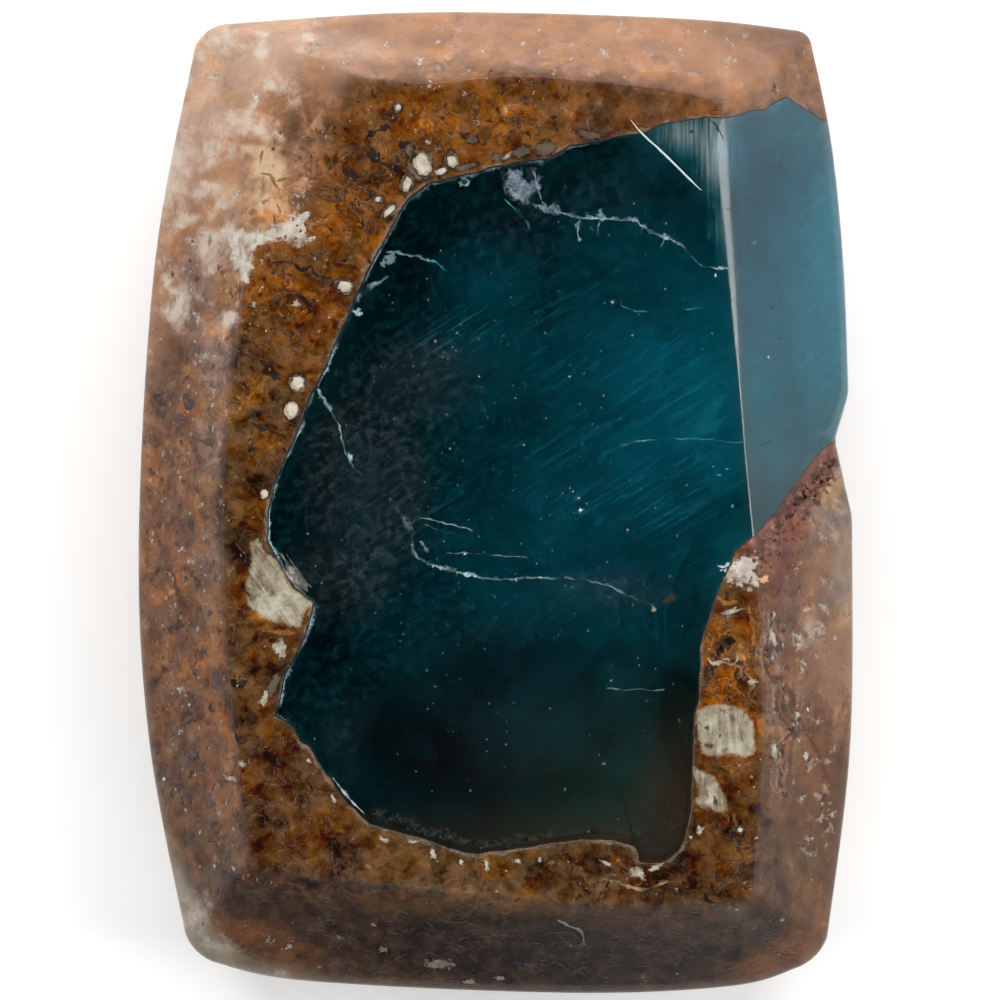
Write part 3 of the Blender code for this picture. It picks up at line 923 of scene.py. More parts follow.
# Light in each crumb's middle is a painted highlight, and dark at its edge is painted shade.
crumb_highlight_and_shade_tones = ((0.0, (0.34, 0.17, 0.125)), (0.22, (0.19, 0.075, 0.050)), (0.48, (0.115, 0.038, 0.024)), (0.72, (0.040, 0.013, 0.009)))
crumb_highlight_and_shade_colour = chalcedony.ramp(crumbs, crumb_highlight_and_shade_tones)
grit_colour = chalcedony.blend(chalcedony.step(marbling, 0.42, 0.62), crumb_highlight_and_shade_colour, (0.095, 0.032, 0.021, 1.0))
colour = chalcedony.blend(gritty, colour, grit_colour)

# Cream clay, combed in fine slanting lines, in a halo of iron stain
clay_edge = chalcedony.sum('MULTIPLY_ADD', frayed, 0.30, chalcedony.known("clay"))
halo = chalcedony.step(clay_edge, 0.0, 0.20, 0.7, 0.0)
colour = chalcedony.blend(halo, colour, chalcedony.vector('MULTIPLY', colour, (1.55, 1.15, 0.6)))
slanting = chalcedony.grain(chalcedony.warped(chalcedony.place(stretch=(0.8, 0.10, 1.0), turn=-55.0), 0.9, 0.9), 1.0, 5.0, 0.65)
upright = chalcedony.grain(chalcedony.warped(chalcedony.place(stretch=(0.10, 0.7, 1.0)), 0.9, 0.9), 1.0, 5.0, 0.65)
combed = chalcedony.sum('ADD', chalcedony.sum('MULTIPLY', slanting, chalcedony.known("left")),
                        chalcedony.sum('MULTIPLY', upright, chalcedony.sum('SUBTRACT', 1.0, chalcedony.known("left"))))
clay_tone = chalcedony.sum('ADD', chalcedony.sum('MULTIPLY', combed, 0.4), chalcedony.sum('MULTIPLY', marbling, 0.6))
clay_tones = ((0.38, (0.075, 0.052, 0.029)), (0.44, (0.16, 0.135, 0.09)), (0.50, (0.24, 0.215, 0.155)), (0.58, (0.33, 0.305, 0.24)))
cream = chalcedony.step(clay_edge, -0.055, 0.025, 1.0, 0.0)
colour = chalcedony.blend(cream, colour, chalcedony.ramp(clay_tone, clay_tones))
ochre_rim = chalcedony.sum('MULTIPLY', cream, chalcedony.step(clay_edge, -0.08, -0.02, 0.0, 0.40))
colour = chalcedony.blend(ochre_rim, colour, (0.17, 0.095, 0.038, 1.0))

# Rough white quartz, which frays out into the stone
crumbly = chalcedony.grain(tightly_curled, 2.8, 6.0, 0.68)
quartz_edge = chalcedony.sum('MULTIPLY_ADD', frayed, 0.85, chalcedony.known("quartz"))
quartz = chalcedony.step(quartz_edge, -0.05, 0.05, 0.95, 0.0)
quartz_tones = ((0.34, (0.11, 0.062, 0.042)), (0.43, (0.23, 0.175, 0.135)), (0.52, (0.34, 0.30, 0.255)), (0.64, (0.44, 0.415, 0.37)))
colour = chalcedony.blend(quartz, colour, chalcedony.ramp(crumbly, quartz_tones))
hairline = chalcedony.sum('MULTIPLY', chalcedony.step(chalcedony.known("rind"), 0.008, 0.030, 0.92, 0.0),
                          chalcedony.sum('SUBTRACT', 1.0, chalcedony.sum('MULTIPLY', cream, chalcedony.known("left"))))
colour = chalcedony.blend(hairline, colour, (0.010, 0.008, 0.007, 1.0))

# A satin polish, duller on the clay and the bevels, with pits at the moss and a step at each patch
rough_patch = chalcedony.sum('MAXIMUM', cream, quartz)
gloss = chalcedony.sum('MULTIPLY_ADD', fine, 0.16, 0.12)
gloss = chalcedony.sum('MULTIPLY_ADD', rough_patch, 0.14, gloss)
gloss = chalcedony.sum('MULTIPLY_ADD', chalcedony.sum('MAXIMUM', cloud, bevel), 0.10, gloss)
gloss = chalcedony.sum('MULTIPLY_ADD', chalcedony.known("worn"), 0.25, gloss)
chalcedony.surface(Base_Color=colour, Roughness=gloss, IOR=1.54, Specular_IOR_Level=0.25)
height = chalcedony.sum('MULTIPLY_ADD', rough_patch, 0.3, chalcedony.sum('MULTIPLY', fine, crisp))
height = chalcedony.sum('MULTIPLY_ADD', chalcedony.sum('MAXIMUM', filament, clump), -0.6, height)
height = chalcedony.sum('MULTIPLY_ADD', chalcedony.sum('MULTIPLY', gritty, crumbs), -2.2, height)
height = chalcedony.sum('MULTIPLY_ADD', hairline, -0.8, height)
chalcedony.relief(height, 0.000014, 0.6)

# The pocket's lining shows through the crystal. A pale silky rind of fine quartz covers most of
# it to the right, brightened there as a painted glow where light comes in through the right bevel,
# and bare brown stone shows on the left and where the crystal is thin.

lining = Finish("pocket_lining")
place = lining.place()
wisps = lining.grain(lining.warped(lining.place(stretch=(1.6, 0.16, 1.0), turn=34.0), 0.4, 0.5), 1.0, 5.0, 0.6)
mottle = lining.grain(lining.warped(place, 0.5, 1.2), 0.8, 6.0, 0.62)
lit = lining.known("lining")
amount = lining.sum('MULTIPLY_ADD', lining.sum('SUBTRACT', mottle, 0.5), 0.55, lit)
wisp = lining.sum('MULTIPLY', lining.sum('SUBTRACT', wisps, 0.5), lining.step(lit, 0.4, 0.9, 0.05, 0.38))
amount = lining.sum('ADD', amount, wisp)
bare = lining.blend(lining.step(mottle, 0.35, 0.65), (0.028, 0.026, 0.022, 1.0), (0.06, 0.055, 0.045, 1.0))
thin_stone = lining.blend(lining.step(mottle, 0.35, 0.65), (0.16, 0.040, 0.018, 1.0), (0.32, 0.08, 0.036, 1.0))
bare = lining.blend(lining.known("thin"), bare, thin_stone)
silk_and_glow_tones = ((0.0, (0.06, 0.06, 0.055)), (0.35, (0.16, 0.19, 0.19)), (0.7, (0.36, 0.46, 0.46)), (1.0, (0.80, 0.90, 0.92)))
silk_and_glow = lining.ramp(lining.sum('MULTIPLY', amount, 0.7), silk_and_glow_tones)
lining.surface(Base_Color=lining.blend(lining.step(amount, 0.0, 0.35), bare, silk_and_glow), Roughness=0.6)
lining.relief(mottle, 0.00005)

# The pale rind, with its painted glow, is brightest here: middle, reach, and how pale it is
silk_and_glow_places = (((3.6, 1.6), (2.5, 3.2), 0.92), ((5.6, 4.2), (1.3, 5.0), 1.4), ((1.6, -0.6), (2.4, 2.4), 0.54),
               ((0.2, 2.6), (2.0, 1.6), 0.36), ((2.6, 4.9), (1.8, 1.6), 0.40), ((1.2, -3.2), (2.4, 1.8), 0.24),
               ((-0.1, 4.1), (0.9, 1.0), 0.62), ((-1.0, -0.5), (2.4, 2.4), 0.12), ((-1.6, -3.6), (2.6, 2.0), 0.05),
               ((4.2, -0.8), (1.2, 1.2), 0.74), ((3.4, 6.2), (1.2, 0.8), 0.48))


def silk_and_glow_amount(points):
    """How pale the pocket's lining is, rind and painted glow together, from 0 to 1."""
    most = np.zeros(len(points))
    for middle, reach, most_here in silk_and_glow_places:
        most = np.maximum(most, most_here * np.exp(-(((points - middle) / reach) ** 2).sum(1)))
    return most


values = {
    "zone": zoned(spots), "cloud": clouded(spots), "moss": moss_amount(spots), "mist_and_sheen": mist_and_sheen_amount(spots) * on_crown,
    "mist_and_sheen_colour": np.where((np.linalg.norm(plan - (-4.1, 5.8), axis=1) < 0.9)[:, None], warm_mist_and_sheen, cool_mist_and_sheen),
    "clay": strewn_distance(clay_loops, 60, (0.08, 0.11, 0.15, 0.24)),
    "quartz": strewn_distance(quartz_loops, 90, (0.05, 0.07, 0.10, 0.16)),
    "left": np.where(plan[:, 0] < 0, 1.0, 0.0), "grit": np.where(on_crown, distance_to(plan, np.array(grit_line)), 9.0), "rind": rind_distance(),
    "bevel": np.clip((table_height - 0.03 - spots[:, 2]) * 5, 0.0, 1.0), "lining": silk_and_glow_amount(plan),
    "worn": np.clip(1.3 - distance_to(plan, np.vstack([table, table[:1]])) / 0.1, 0, 1) * on_crown,
    "thin": np.clip(1.5 - np.linalg.norm(plan - thin_corner, axis=1) / 3.0, 0.0, 1.0),
}
stone_object = finish_mesh("moss_chalcedony", stone, chalcedony.material, lining.material)
for name, stored in values.items():
    keep(stone_object.data, name, stored)
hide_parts("chalcedony")

# The chalcedony's fine markings, as thin as a film on its cut faces: flakes and threads of moss and
# iron oxide, oval quartz grains in grey rims, white crumbs, and the specks of the bevels.

soot = (0.011, 0.0065, 0.0045)
bark = (0.030, 0.0155, 0.0090)
plum = (0.052, 0.034, 0.032)
drab = (0.105, 0.080, 0.055)
orange = (0.190, 0.080, 0.022)
tan = (0.185, 0.120, 0.070)
bone = (0.270, 0.215, 0.155)
ivory = (0.375, 0.345, 0.275)
milk = (0.420, 0.395, 0.350)
rose = (0.330, 0.215, 0.180)
terracotta = (0.170, 0.066, 0.044)
pearl = (0.400, 0.330, 0.275)
peach = (0.300, 0.150, 0.075)
coral = (0.520, 0.250, 0.140)

film_lift = 0.002
layer_gap = 0.0004
loose_layers = 8


class Film:
    """Many small strips and flecks that lie on the cut faces in thin layers."""

    def __init__(self):
        self.places, self.faces, self.shapes, self.strengths, self.tints = [], [], [], [], []

    def point(self, x, y, layer, shape, strength, tint):
        """A point of the film, as its number. Its shape falls to 0 at the rim of a marking."""
        self.places.append((x, y, film_lift + layer * layer_gap))
        self.shapes.append(shape)
        self.strengths.append(strength)
        self.tints.append(tint)
        return len(self.places) - 1

    def thread(self, line, half_width, tint, strength=1.0, left=0.0, right=0.0, broken=0.9, step=0.04, layer=None):
        """A thread along a line. Its soft fringe reaches left and right of it."""
        layer = random.randrange(loose_layers) if layer is None else layer
        corners = np.array(line, float)
        length = np.linalg.norm(np.diff(corners, axis=0), axis=1).sum()
        run = even_steps(corners, max(3, int(length / step)))
        heading = np.gradient(run, axis=0)
        heading /= np.linalg.norm(heading, axis=1)[:, None] + 1e-9
        rows = []
        for number, ((x, y), (along_x, along_y)) in enumerate(zip(run, heading)):
            part = number / (len(run) - 1)
            taper = min(1.0, 4 * part + 0.2, 4 * (1 - part) + 0.2)
            width = half_width * taper * max(0.3, 0.85 + 1.6 * noise.noise(Vector((x * 7, y * 7, 1.0))))
            fringe = max(0.1, 0.7 + 1.6 * noise.noise(Vector((x * 6, y * 6, 5.0))))
            level = max(0.1, 1.0 + broken * (noise.noise(Vector((x * 3, y * 3, 9.0))) * 1.4 - 0.2))
            across = ((-width - left * fringe, 0.0), (-0.5 * width, 0.8), (0.0, 1.2), (0.5 * width, 0.8),
                      (width + right * fringe, 0.0))
            if not (left or right):
                across = across[::2]
            rows.append([self.point(x - along_y * offset, y + along_x * offset, layer, shape, strength * level, tint)
                         for offset, shape in across])
        for one, other in zip(rows, rows[1:]):
            for k in range(len(one) - 1):
                self.faces.append((one[k], other[k], other[k + 1], one[k + 1]))

    def fleck(self, x, y, half_width, half_height, tilt, tint, strength=1.0, uneven=0.5, rim=0.4, solid=1.0,
              layer=None):
        """An oval fleck with an uneven rim. A solid one keeps a clean outline."""
        layer = random.randrange(loose_layers) if layer is None else layer
        turn = math.radians(tilt)
        count = 10 if max(half_width, half_height) < 0.08 else 20
        seed = random.uniform(0, 90)
        rings = [[self.point(x, y, layer, solid, strength, tint)] * count]
        for reach, shape in ((1 - rim, 0.8 * solid), (1.0, 0.0)):
            ring = []
            for k in range(count):
                angle = 2 * math.pi * k / count
                swell = noise.noise(Vector((1.4 * math.cos(angle), 1.4 * math.sin(angle), seed)))
                swell += 0.6 * noise.noise(Vector((3.5 * math.cos(angle), 3.5 * math.sin(angle), seed)))
                spread = reach * (1 + uneven * swell)
                side, end = math.cos(angle), math.sin(angle)
                across = half_width * spread * math.copysign(abs(side) ** 0.92, side)
                along = half_height * spread * math.copysign(abs(end) ** 0.92, end)
                ring.append(self.point(x + across * math.cos(turn) - along * math.sin(turn),
                                       y + across * math.sin(turn) + along * math.cos(turn),
                                       layer, shape, strength, tint))
            rings.append(ring)
        for k in range(count):
            following = (k + 1) % count
            self.faces.append((rings[0][k], rings[1][k], rings[1][following]))
            self.faces.append((rings[1][k], rings[2][k], rings[2][following], rings[1][following]))

    def finish(self, name, on_crystal, material):
        """The film as an object, trimmed to its own mineral's cut faces."""
        flat = np.array(self.places)[:, :2]
        good = inside(flat, girdle * 0.997) & (inside(flat, crystal_plan) == on_crystal)
        form = bmesh.new()
        verts = [form.verts.new((x, y, crown_height(x, y) + lift)) for x, y, lift in self.places]
        for face in self.faces:
            if all(good[k] for k in face):
                form.faces.new([verts[k] for k in face])
        numbers = [k for k, vert in enumerate(verts) if vert.link_faces]
        bmesh.ops.delete(form, geom=[vert for vert in verts if not vert.link_faces], context='VERTS')
        piece = finish_mesh(name, form, material)
        for key, kept in (("shape", self.shapes), ("strength", self.strengths), ("tint", self.tints)):
            keep(piece.data, key, np.array(kept)[numbers])
        return piece


def strewn_places(count, wanted):
    """Random places on the chalcedony's cut faces, kept with the chance that wanted gives."""
    tried = np.array([(random.uniform(-6.4, 6.4), random.uniform(-8.9, 8.9)) for _ in range(count * 9)])
    tried = tried[inside(tried, girdle * 0.985) & ~inside(tried, crystal_plan)]
    tried = tried[distance_to(tried, contact[::3]) > 0.09]
    tried = tried[patch_distance(tried, clay_loops + quartz_loops) > 0.08]
    raised = np.array([(x, y, crown_height(x, y)) for x, y in tried])
    chance = wanted(raised)
    return [tuple(place) for place, share in zip(tried, chance) if random.random() < share][:count]


def winding(x, y, heading, length, tightness):
    """The winding line of a flake or thread from its start."""
    seed = random.uniform(0, 90)
    steps = max(3, int(length / 0.035))
    line = []
    for _ in range(steps):
        heading += tightness * noise.noise(Vector((x * 2.6, y * 2.6, seed)))
        x += 0.035 * math.cos(heading)
        y += 0.035 * math.sin(heading)
        line.append((x, y))
    return line


def flow(x, y):
    """The direction in which the moss drifts at a place."""
    return 5.0 * noise.noise(Vector((x * 0.45, y * 0.45, 3.0))) + random.gauss(0, 0.7)


def on_table_moss(points):
    """The chance of moss at points of the table."""
    on_table = points[:, 2] > table_height - 0.03
    return np.clip(moss_amount(points) * 1.1, 0.1, 1) * (1 - clouded(points)) * np.where(on_table, 1.0, 0.12 * (points[:, 1] > -7))


def on_side_bevels(points):
    """The chance of specks at points, thickest on the left bevel."""
    on_bevel = points[:, 2] < table_height - 0.03
    chance = np.where(points[:, 0] < -4, 1.0, np.where(points[:, 0] > 4, 0.25, 0.0))
    return on_bevel * chance * np.clip(1 - 1.8 * clouded(points), 0, 1) * np.where(points[:, 1] < -7, 0.0, 1.0)


def on_bottom_bevel(points):
    """The chance of streaks at points of the bottom bevel."""
    return (points[:, 2] < table_height - 0.03) * (points[:, 1] < -7) * (1 - 0.6 * clouded(points))


random.seed(23)
markings = Film()
# Flakes and threads on the table: tint, number, half widths, lengths, strength
for tint, count, widths, lengths, strength in (
        (bark, 260, (0.020, 0.050), (0.08, 0.26), 0.60), (orange, 200, (0.014, 0.040), (0.10, 0.30), 0.50),
        (tan, 130, (0.012, 0.030), (0.06, 0.18), 0.40), (soot, 220, (0.014, 0.040), (0.08, 0.26), 0.75),
        (drab, 140, (0.020, 0.050), (0.08, 0.20), 0.50)):
    for x, y in strewn_places(count, on_table_moss):
        line = winding(x, y, flow(x, y), random.uniform(*lengths), random.uniform(0.3, 1.2))
        markings.thread(line, random.uniform(*widths), tint, strength * random.uniform(0.6, 1.1))

# Soft plum flecks and upright pinkish glints on the side bevels, streaks along the bottom one
for x, y in strewn_places(230, on_side_bevels):
    size = random.uniform(0.05, 0.15)
    markings.fleck(x, y, size * random.uniform(0.35, 0.8), size, random.uniform(-40, 15),
                   random.choice((plum, plum, bark)), random.uniform(0.30, 0.65), 1.0, 0.8)
for x, y in strewn_places(260, on_side_bevels):
    size = random.uniform(0.025, 0.075)
    markings.fleck(x, y, size * random.uniform(0.35, 0.6), size, random.uniform(-25, 25),
                   random.choice((rose, bone, milk)), random.uniform(0.35, 0.85), 0.9, 0.6)
for x, y in strewn_places(150, on_bottom_bevel):
    line = winding(x, y, random.gauss(0, 0.25), random.uniform(0.10, 0.40), 0.4)
    markings.thread(line, random.uniform(0.010, 0.030), soot, 0.30)
for x, y in strewn_places(60, on_bottom_bevel):
    size = random.uniform(0.02, 0.06)
    markings.fleck(x, y, size, size * 0.7, 0, random.choice((rose, bone, drab)), random.uniform(0.3, 0.7), 0.9, 0.6)
for x, y in strewn_places(150, on_table_moss):
    size = random.uniform(0.012, 0.045)
    markings.fleck(x, y, size, size * random.uniform(0.4, 0.9), random.uniform(-90, 90),
                   random.choice((rose, bone, tan, milk)), random.uniform(0.35, 0.75), 0.9, 0.5)

# Named threads, each a line, its half width and its tint
threads = (
    (((-2.10, 6.82), (-2.35, 6.66), (-2.26, 6.42), (-2.11, 6.22), (-1.84, 6.13)), 0.09, soot),
    (((-2.12, 6.80), (-1.98, 6.88), (-1.92, 6.82)), 0.06, soot), (((-1.86, 6.16), (-1.70, 6.02)), 0.07, soot),
    (((-1.77, 6.51), (-1.55, 6.58)), 0.06, soot), (((-2.80, 6.16), (-2.70, 5.98), (-2.56, 6.02)), 0.07, soot),
    (((-2.70, 6.00), (-2.52, 5.94), (-2.36, 5.96)), 0.06, bark),
    (((-4.07, 4.39), (-3.73, 4.39), (-3.54, 4.24), (-3.36, 4.33), (-3.31, 4.17), (-2.99, 4.09)), 0.045, soot),
    (((-4.30, 6.02), (-4.12, 5.98), (-4.02, 5.80), (-3.94, 5.72)), 0.028, orange),
    (((-4.02, 5.86), (-3.84, 5.92), (-3.72, 5.90)), 0.022, orange), (((-4.26, 6.44), (-4.30, 6.20)), 0.030, orange),
    (((-3.95, 3.72), (-3.62, 3.78), (-3.38, 3.55), (-3.46, 3.42)), 0.055, soot),
    (((-4.30, 2.60), (-4.14, 2.46), (-4.02, 2.30), (-3.90, 2.24)), 0.10, soot),
    (((-4.45, 1.45), (-4.28, 1.38), (-4.10, 1.42), (-3.98, 1.34)), 0.06, soot),
    (((-4.86, -3.24), (-4.70, -3.34), (-4.52, -3.24)), 0.075, soot),
    (((-4.80, -4.06), (-4.70, -4.32), (-4.48, -4.34)), 0.08, soot),
    (((-4.46, -3.82), (-4.38, -4.02)), 0.07, soot), (((-5.16, -3.02), (-5.10, -3.20), (-5.08, -3.42)), 0.13, plum),
    (((-5.95, -5.42), (-5.72, -5.12)), 0.10, plum), (((-5.85, 1.60), (-5.70, 1.50)), 0.13, plum),
    (((-5.32, 1.05), (-5.24, 1.18)), 0.10, plum), (((-0.62, 6.66), (-0.55, 6.72), (-0.46, 6.74)), 0.11, soot),
    (((-5.70, 2.00), (-5.60, 1.84), (-5.66, 1.70)), 0.10, plum), (((-5.60, -0.30), (-5.52, -0.62)), 0.09, plum),
    (((-5.90, -1.30), (-5.86, -1.60)), 0.08, plum), (((-5.52, -4.40), (-5.60, -4.70)), 0.10, plum),
    (((-5.40, -1.90), (-5.58, -2.30)), 0.07, plum), (((-5.28, -5.30), (-5.20, -5.60)), 0.07, plum),
    (((4.16, -2.50), (4.22, -2.36), (4.36, -2.32), (4.46, -2.42), (4.50, -2.62), (4.42, -2.80)), 0.040, orange),
    (((4.62, -1.90), (4.71, -2.30), (4.70, -2.70), (4.60, -3.02)), 0.05, orange),
    (((4.05, -1.72), (4.22, -1.84), (4.44, -1.80)), 0.05, orange),
    (((4.42, -3.00), (4.40, -3.22), (4.62, -3.36)), 0.05, soot), (((3.80, -3.10), (3.92, -3.24)), 0.06, bark),
    (((4.56, -3.10), (4.72, -3.30), (4.62, -3.52), (4.78, -3.70)), 0.045, tan),
    (((3.88, -2.84), (3.98, -2.95), (4.14, -2.90), (4.28, -2.97), (4.40, -2.90), (4.42, -2.76)), 0.036, bone),
    (((1.95, -6.86), (2.44, -7.02), (2.74, -7.06), (3.16, -6.92)), 0.05, tan),
    (((1.13, -7.63), (1.36, -7.75), (1.57, -7.85), (1.62, -8.07)), 0.042, ash),
    (((1.31, -8.10), (1.48, -8.13), (1.66, -8.08)), 0.045, ash), (((2.74, -7.12), (2.90, -7.24), (3.06, -7.30)), 0.10, soot),
    (((4.00, -7.00), (3.92, -7.02)), 0.06, soot), (((3.88, -7.22), (3.80, -7.24)), 0.06, soot),
)
for line, half_width, tint in threads:
    markings.thread(smooth_run(line, 6 * len(line)), half_width, tint, 0.9, 0.01, 0.01, step=0.03)
# The iron stain that rays out from a point near the lower right corner
for ray in range(16):
    angle = math.radians(-30 + ray * 16 + random.uniform(-7, 7))
    ray_line = [(3.56 + reach * math.cos(angle), -6.93 + 0.6 * reach * math.sin(angle))
                for reach in np.linspace(random.uniform(0.10, 0.3), random.uniform(0.35, 0.75), 6)]
    markings.thread(ray_line, random.uniform(0.014, 0.03), random.choice((soot, bark, orange)), 0.35)

# The dark red grains of the grit, each with a painted shadow to its lower right and often a painted pink glint to its
# upper left: along its line, and how far below it
for _ in range(120):
    along, off = random.uniform(0, 1), abs(random.gauss(0, 0.20))
    x, y = even_steps(np.array(grit_line), 20)[int(along * 20)] + np.array((0.7, -0.7)) * off
    size = random.uniform(0.05, 0.12) * (1.2 - 0.5 * along)
    # A dark fleck set to the lower right of each grain is its painted shadow.
    markings.fleck(x + 0.3 * size, y - 0.4 * size, size, size * 0.7, 0, bark, 0.40, 0.6, 0.8)
    markings.fleck(x, y, size, size * 0.8, random.uniform(0, 90), random.choice((brick, terracotta, terracotta)), 0.7,
                   0.7, 0.6)
    if random.random() < 0.6:
        markings.fleck(x - 0.25 * size, y + 0.3 * size, size * 0.45, size * 0.25, 40, random.choice((rose, bone, milk)),
                       0.6, 0.7, 0.8)
# Cream flakes in the wrinkled seam down the right bevel
seam_line = ((5.04, -2.02), (5.00, -2.48), (4.88, -2.79), (4.97, -3.10), (5.15, -3.36), (5.13, -3.80), (5.32, -4.04),
             (5.44, -4.17), (5.25, -4.42), (5.28, -4.79), (5.19, -5.10), (5.32, -5.41))
seam_run = smooth_run(seam_line, 60)
for offset, tint, half_width, strength in ((-0.14, tan, 0.060, 0.5), (-0.06, rose, 0.030, 0.4), (0.0, brick, 0.035, 0.8),
                                           (0.01, soot, 0.016, 0.7), (0.13, plum, 0.030, 0.45)):
    shaken = [(x + offset + 0.05 * noise.noise(Vector((x * 2 + offset * 9, y * 2.4, 4.0))), y) for x, y in seam_run]
    markings.thread(shaken, half_width, tint, strength, 0.04, 0.05, 0.5)
lower_seam = ((5.30, -3.30), (5.50, -3.75), (5.63, -4.11), (5.87, -4.53), (6.03, -4.92), (6.03, -5.41), (5.94, -5.78))
markings.thread(smooth_run(lower_seam, 40), 0.030, brick, 0.6, 0.04, 0.08, 0.4)
for _ in range(90):
    x, y = seam_run[random.randrange(61)] + np.array((random.gauss(0.04, 0.13), random.gauss(0, 0.05)))
    size = random.uniform(0.03, 0.10)
    markings.fleck(x, y, size * 0.4, size, random.uniform(-35, 15), random.choice((rose, rose, bone, milk, plum, tan)),
                   random.uniform(0.3, 0.7), 1.0, 0.8)
# Soft crumbs of pale quartz on the top bevel and low on the right, and soft orange spots among them
for left, right, low, high, count, sizes in ((-3.6, 4.6, 7.75, 8.8, 60, (0.03, 0.11)),
                                             (5.5, 6.2, -6.6, -0.2, 50, (0.04, 0.14))):
    for _ in range(count):
        x, y = random.uniform(left, right), random.uniform(low, high)
        size = random.uniform(*sizes)
        markings.fleck(x, y, size, size * random.uniform(0.6, 1.5), random.uniform(-60, 60),
                       random.choice((pearl, pearl, pearl, peach)), random.uniform(0.25, 0.60), 0.9, 1.0, 1.0)

# Grains are x, y, half width, half height and tilt. These lie in a grey translucent rim.
rimmed_grains = (
    (-1.35, 6.16, 0.15, 0.23, 15, 0.10), (-0.80, 6.23, 0.09, 0.13, 20, 0.07), (-1.00, 6.05, 0.11, 0.06, 20, 0.03),
    (-1.62, 5.81, 0.08, 0.15, -15, 0.06), (-1.94, 5.33, 0.15, 0.06, 45, 0.05), (-2.77, 3.95, 0.14, 0.11, 0, 0.07),
    (-3.62, 2.18, 0.13, 0.13, 0, 0.05), (-3.73, 1.69, 0.13, 0.16, 0, 0.03), (-4.22, 0.16, 0.08, 0.08, 0, 0.02),
    (-2.15, 5.54, 0.06, 0.05, 0, 0.04), (4.47, -5.98, 0.05, 0.05, 0, 0.03), (-1.78, 7.22, 0.06, 0.06, 0, 0.04),
)
for x, y, half_width, half_height, tilt, rim_width in rimmed_grains:
    across, along = half_width + rim_width, half_height + rim_width
    markings.fleck(x, y, across + 0.03, along + 0.03, tilt, soot, 0.45, 0.35, 0.3, 1.3, 8)
    markings.fleck(x, y, across, along, tilt, drab, 0.85, 0.35, 0.35, 1.3, 9)
    markings.fleck(x, y, half_width + 0.02, half_height + 0.02, tilt, bark, 0.70, 0.2, 0.25, 2.0, 10)
    markings.fleck(x, y, half_width, half_height, tilt, bone, 1.0, 0.35, 0.25, 2.2, 11)
    # The palest core is set a little toward the upper right of each grain, as a painted highlight.
    markings.fleck(x + 0.10 * half_width, y + 0.10 * half_height, half_width * 0.82, half_height * 0.82, tilt,
                   ivory, 0.95, 0.2, 0.4, 2.0, 12)
# Lobes of the same clear agate along the contact
agate_lobes = (
    (0.93, 6.46, 0.22, 0.16, 10), (0.46, 6.40, 0.20, 0.11, 20), (0.05, 6.30, 0.15, 0.09, 0),
    (-1.52, 6.34, 0.10, 0.26, 20), (-0.55, 6.13, 0.26, 0.06, 15), (1.72, 6.72, 0.26, 0.10, -15),
    (-0.42, 6.62, 0.11, 0.09, 0), (-4.06, -3.35, 0.10, 0.26, -20), (-3.62, 0.95, 0.08, 0.16, -20),
    (-3.45, 1.40, 0.10, 0.12, -20), (-3.20, 2.05, 0.08, 0.16, -20),
)
for x, y, half_width, half_height, tilt in agate_lobes:
    markings.fleck(x, y, half_width + 0.025, half_height + 0.025, tilt, soot, 0.45, 0.4, 0.3, 1.2, 8)
    markings.fleck(x, y, half_width, half_height, tilt, drab, 0.65, 0.4, 0.5, 1.2, 9)
# Bare cream grains
cream_grains = (
    (-3.93, -2.68, 0.15, 0.24, -20), (-4.22, -3.56, 0.08, 0.20, -25), (4.31, -1.99, 0.20, 0.08, 20),
    (3.74, -5.98, 0.08, 0.11, -10), (3.56, -6.11, 0.05, 0.05, 0), (2.04, -6.60, 0.20, 0.06, -30),
    (2.62, -6.78, 0.15, 0.12, 0), (2.92, -6.68, 0.20, 0.06, 20), (4.20, -2.86, 0.14, 0.03, -8),
    (0.19, 6.31, 0.15, 0.05, 25), (-3.65, 3.62, 0.12, 0.06, 10), (-1.14, -6.42, 0.08, 0.12, 20),
    (-0.16, -6.64, 0.06, 0.14, 10), (-2.96, -5.41, 0.04, 0.13, 25), (-4.86, -5.03, 0.15, 0.07, 0),
    (-4.64, -4.77, 0.07, 0.07, 0), (-2.04, -6.16, 0.14, 0.06, -15), (-1.49, -6.20, 0.13, 0.06, 0),
    (-0.63, -6.56, 0.07, 0.06, 0), (0.41, -6.55, 0.11, 0.05, 0), (0.80, -6.53, 0.05, 0.05, 0),
    (-3.42, -4.72, 0.06, 0.05, -30), (5.06, -2.44, 0.08, 0.20, 15), (5.10, -4.53, 0.07, 0.22, -5),
    (-1.05, -8.47, 0.27, 0.11, 8), (-2.05, -8.19, 0.13, 0.07, -20), (0.08, -8.72, 0.13, 0.05, 0), (-0.48, -8.80, 0.20, 0.04, 0),
    (4.71, -3.27, 0.12, 0.08, 10), (5.69, -4.66, 0.07, 0.13, 5), (5.52, -3.89, 0.05, 0.10, 0),
)
for x, y, half_width, half_height, tilt in cream_grains:
    markings.fleck(x, y, half_width + 0.03, half_height + 0.03, tilt, bark, 0.35, 0.6, 0.6, 1.0, 8)
    pale = (ash, bone) if y < -8 else (bone, ivory)
    markings.fleck(x, y, half_width, half_height, tilt, pale[0], 0.85, 0.9, 0.6, 1.1, 9)
    markings.fleck(x, y, half_width * 0.75, half_height * 0.75, tilt, pale[1], 0.80 if y > -8 else 0.35, 0.9, 0.8, 1.0, 10)
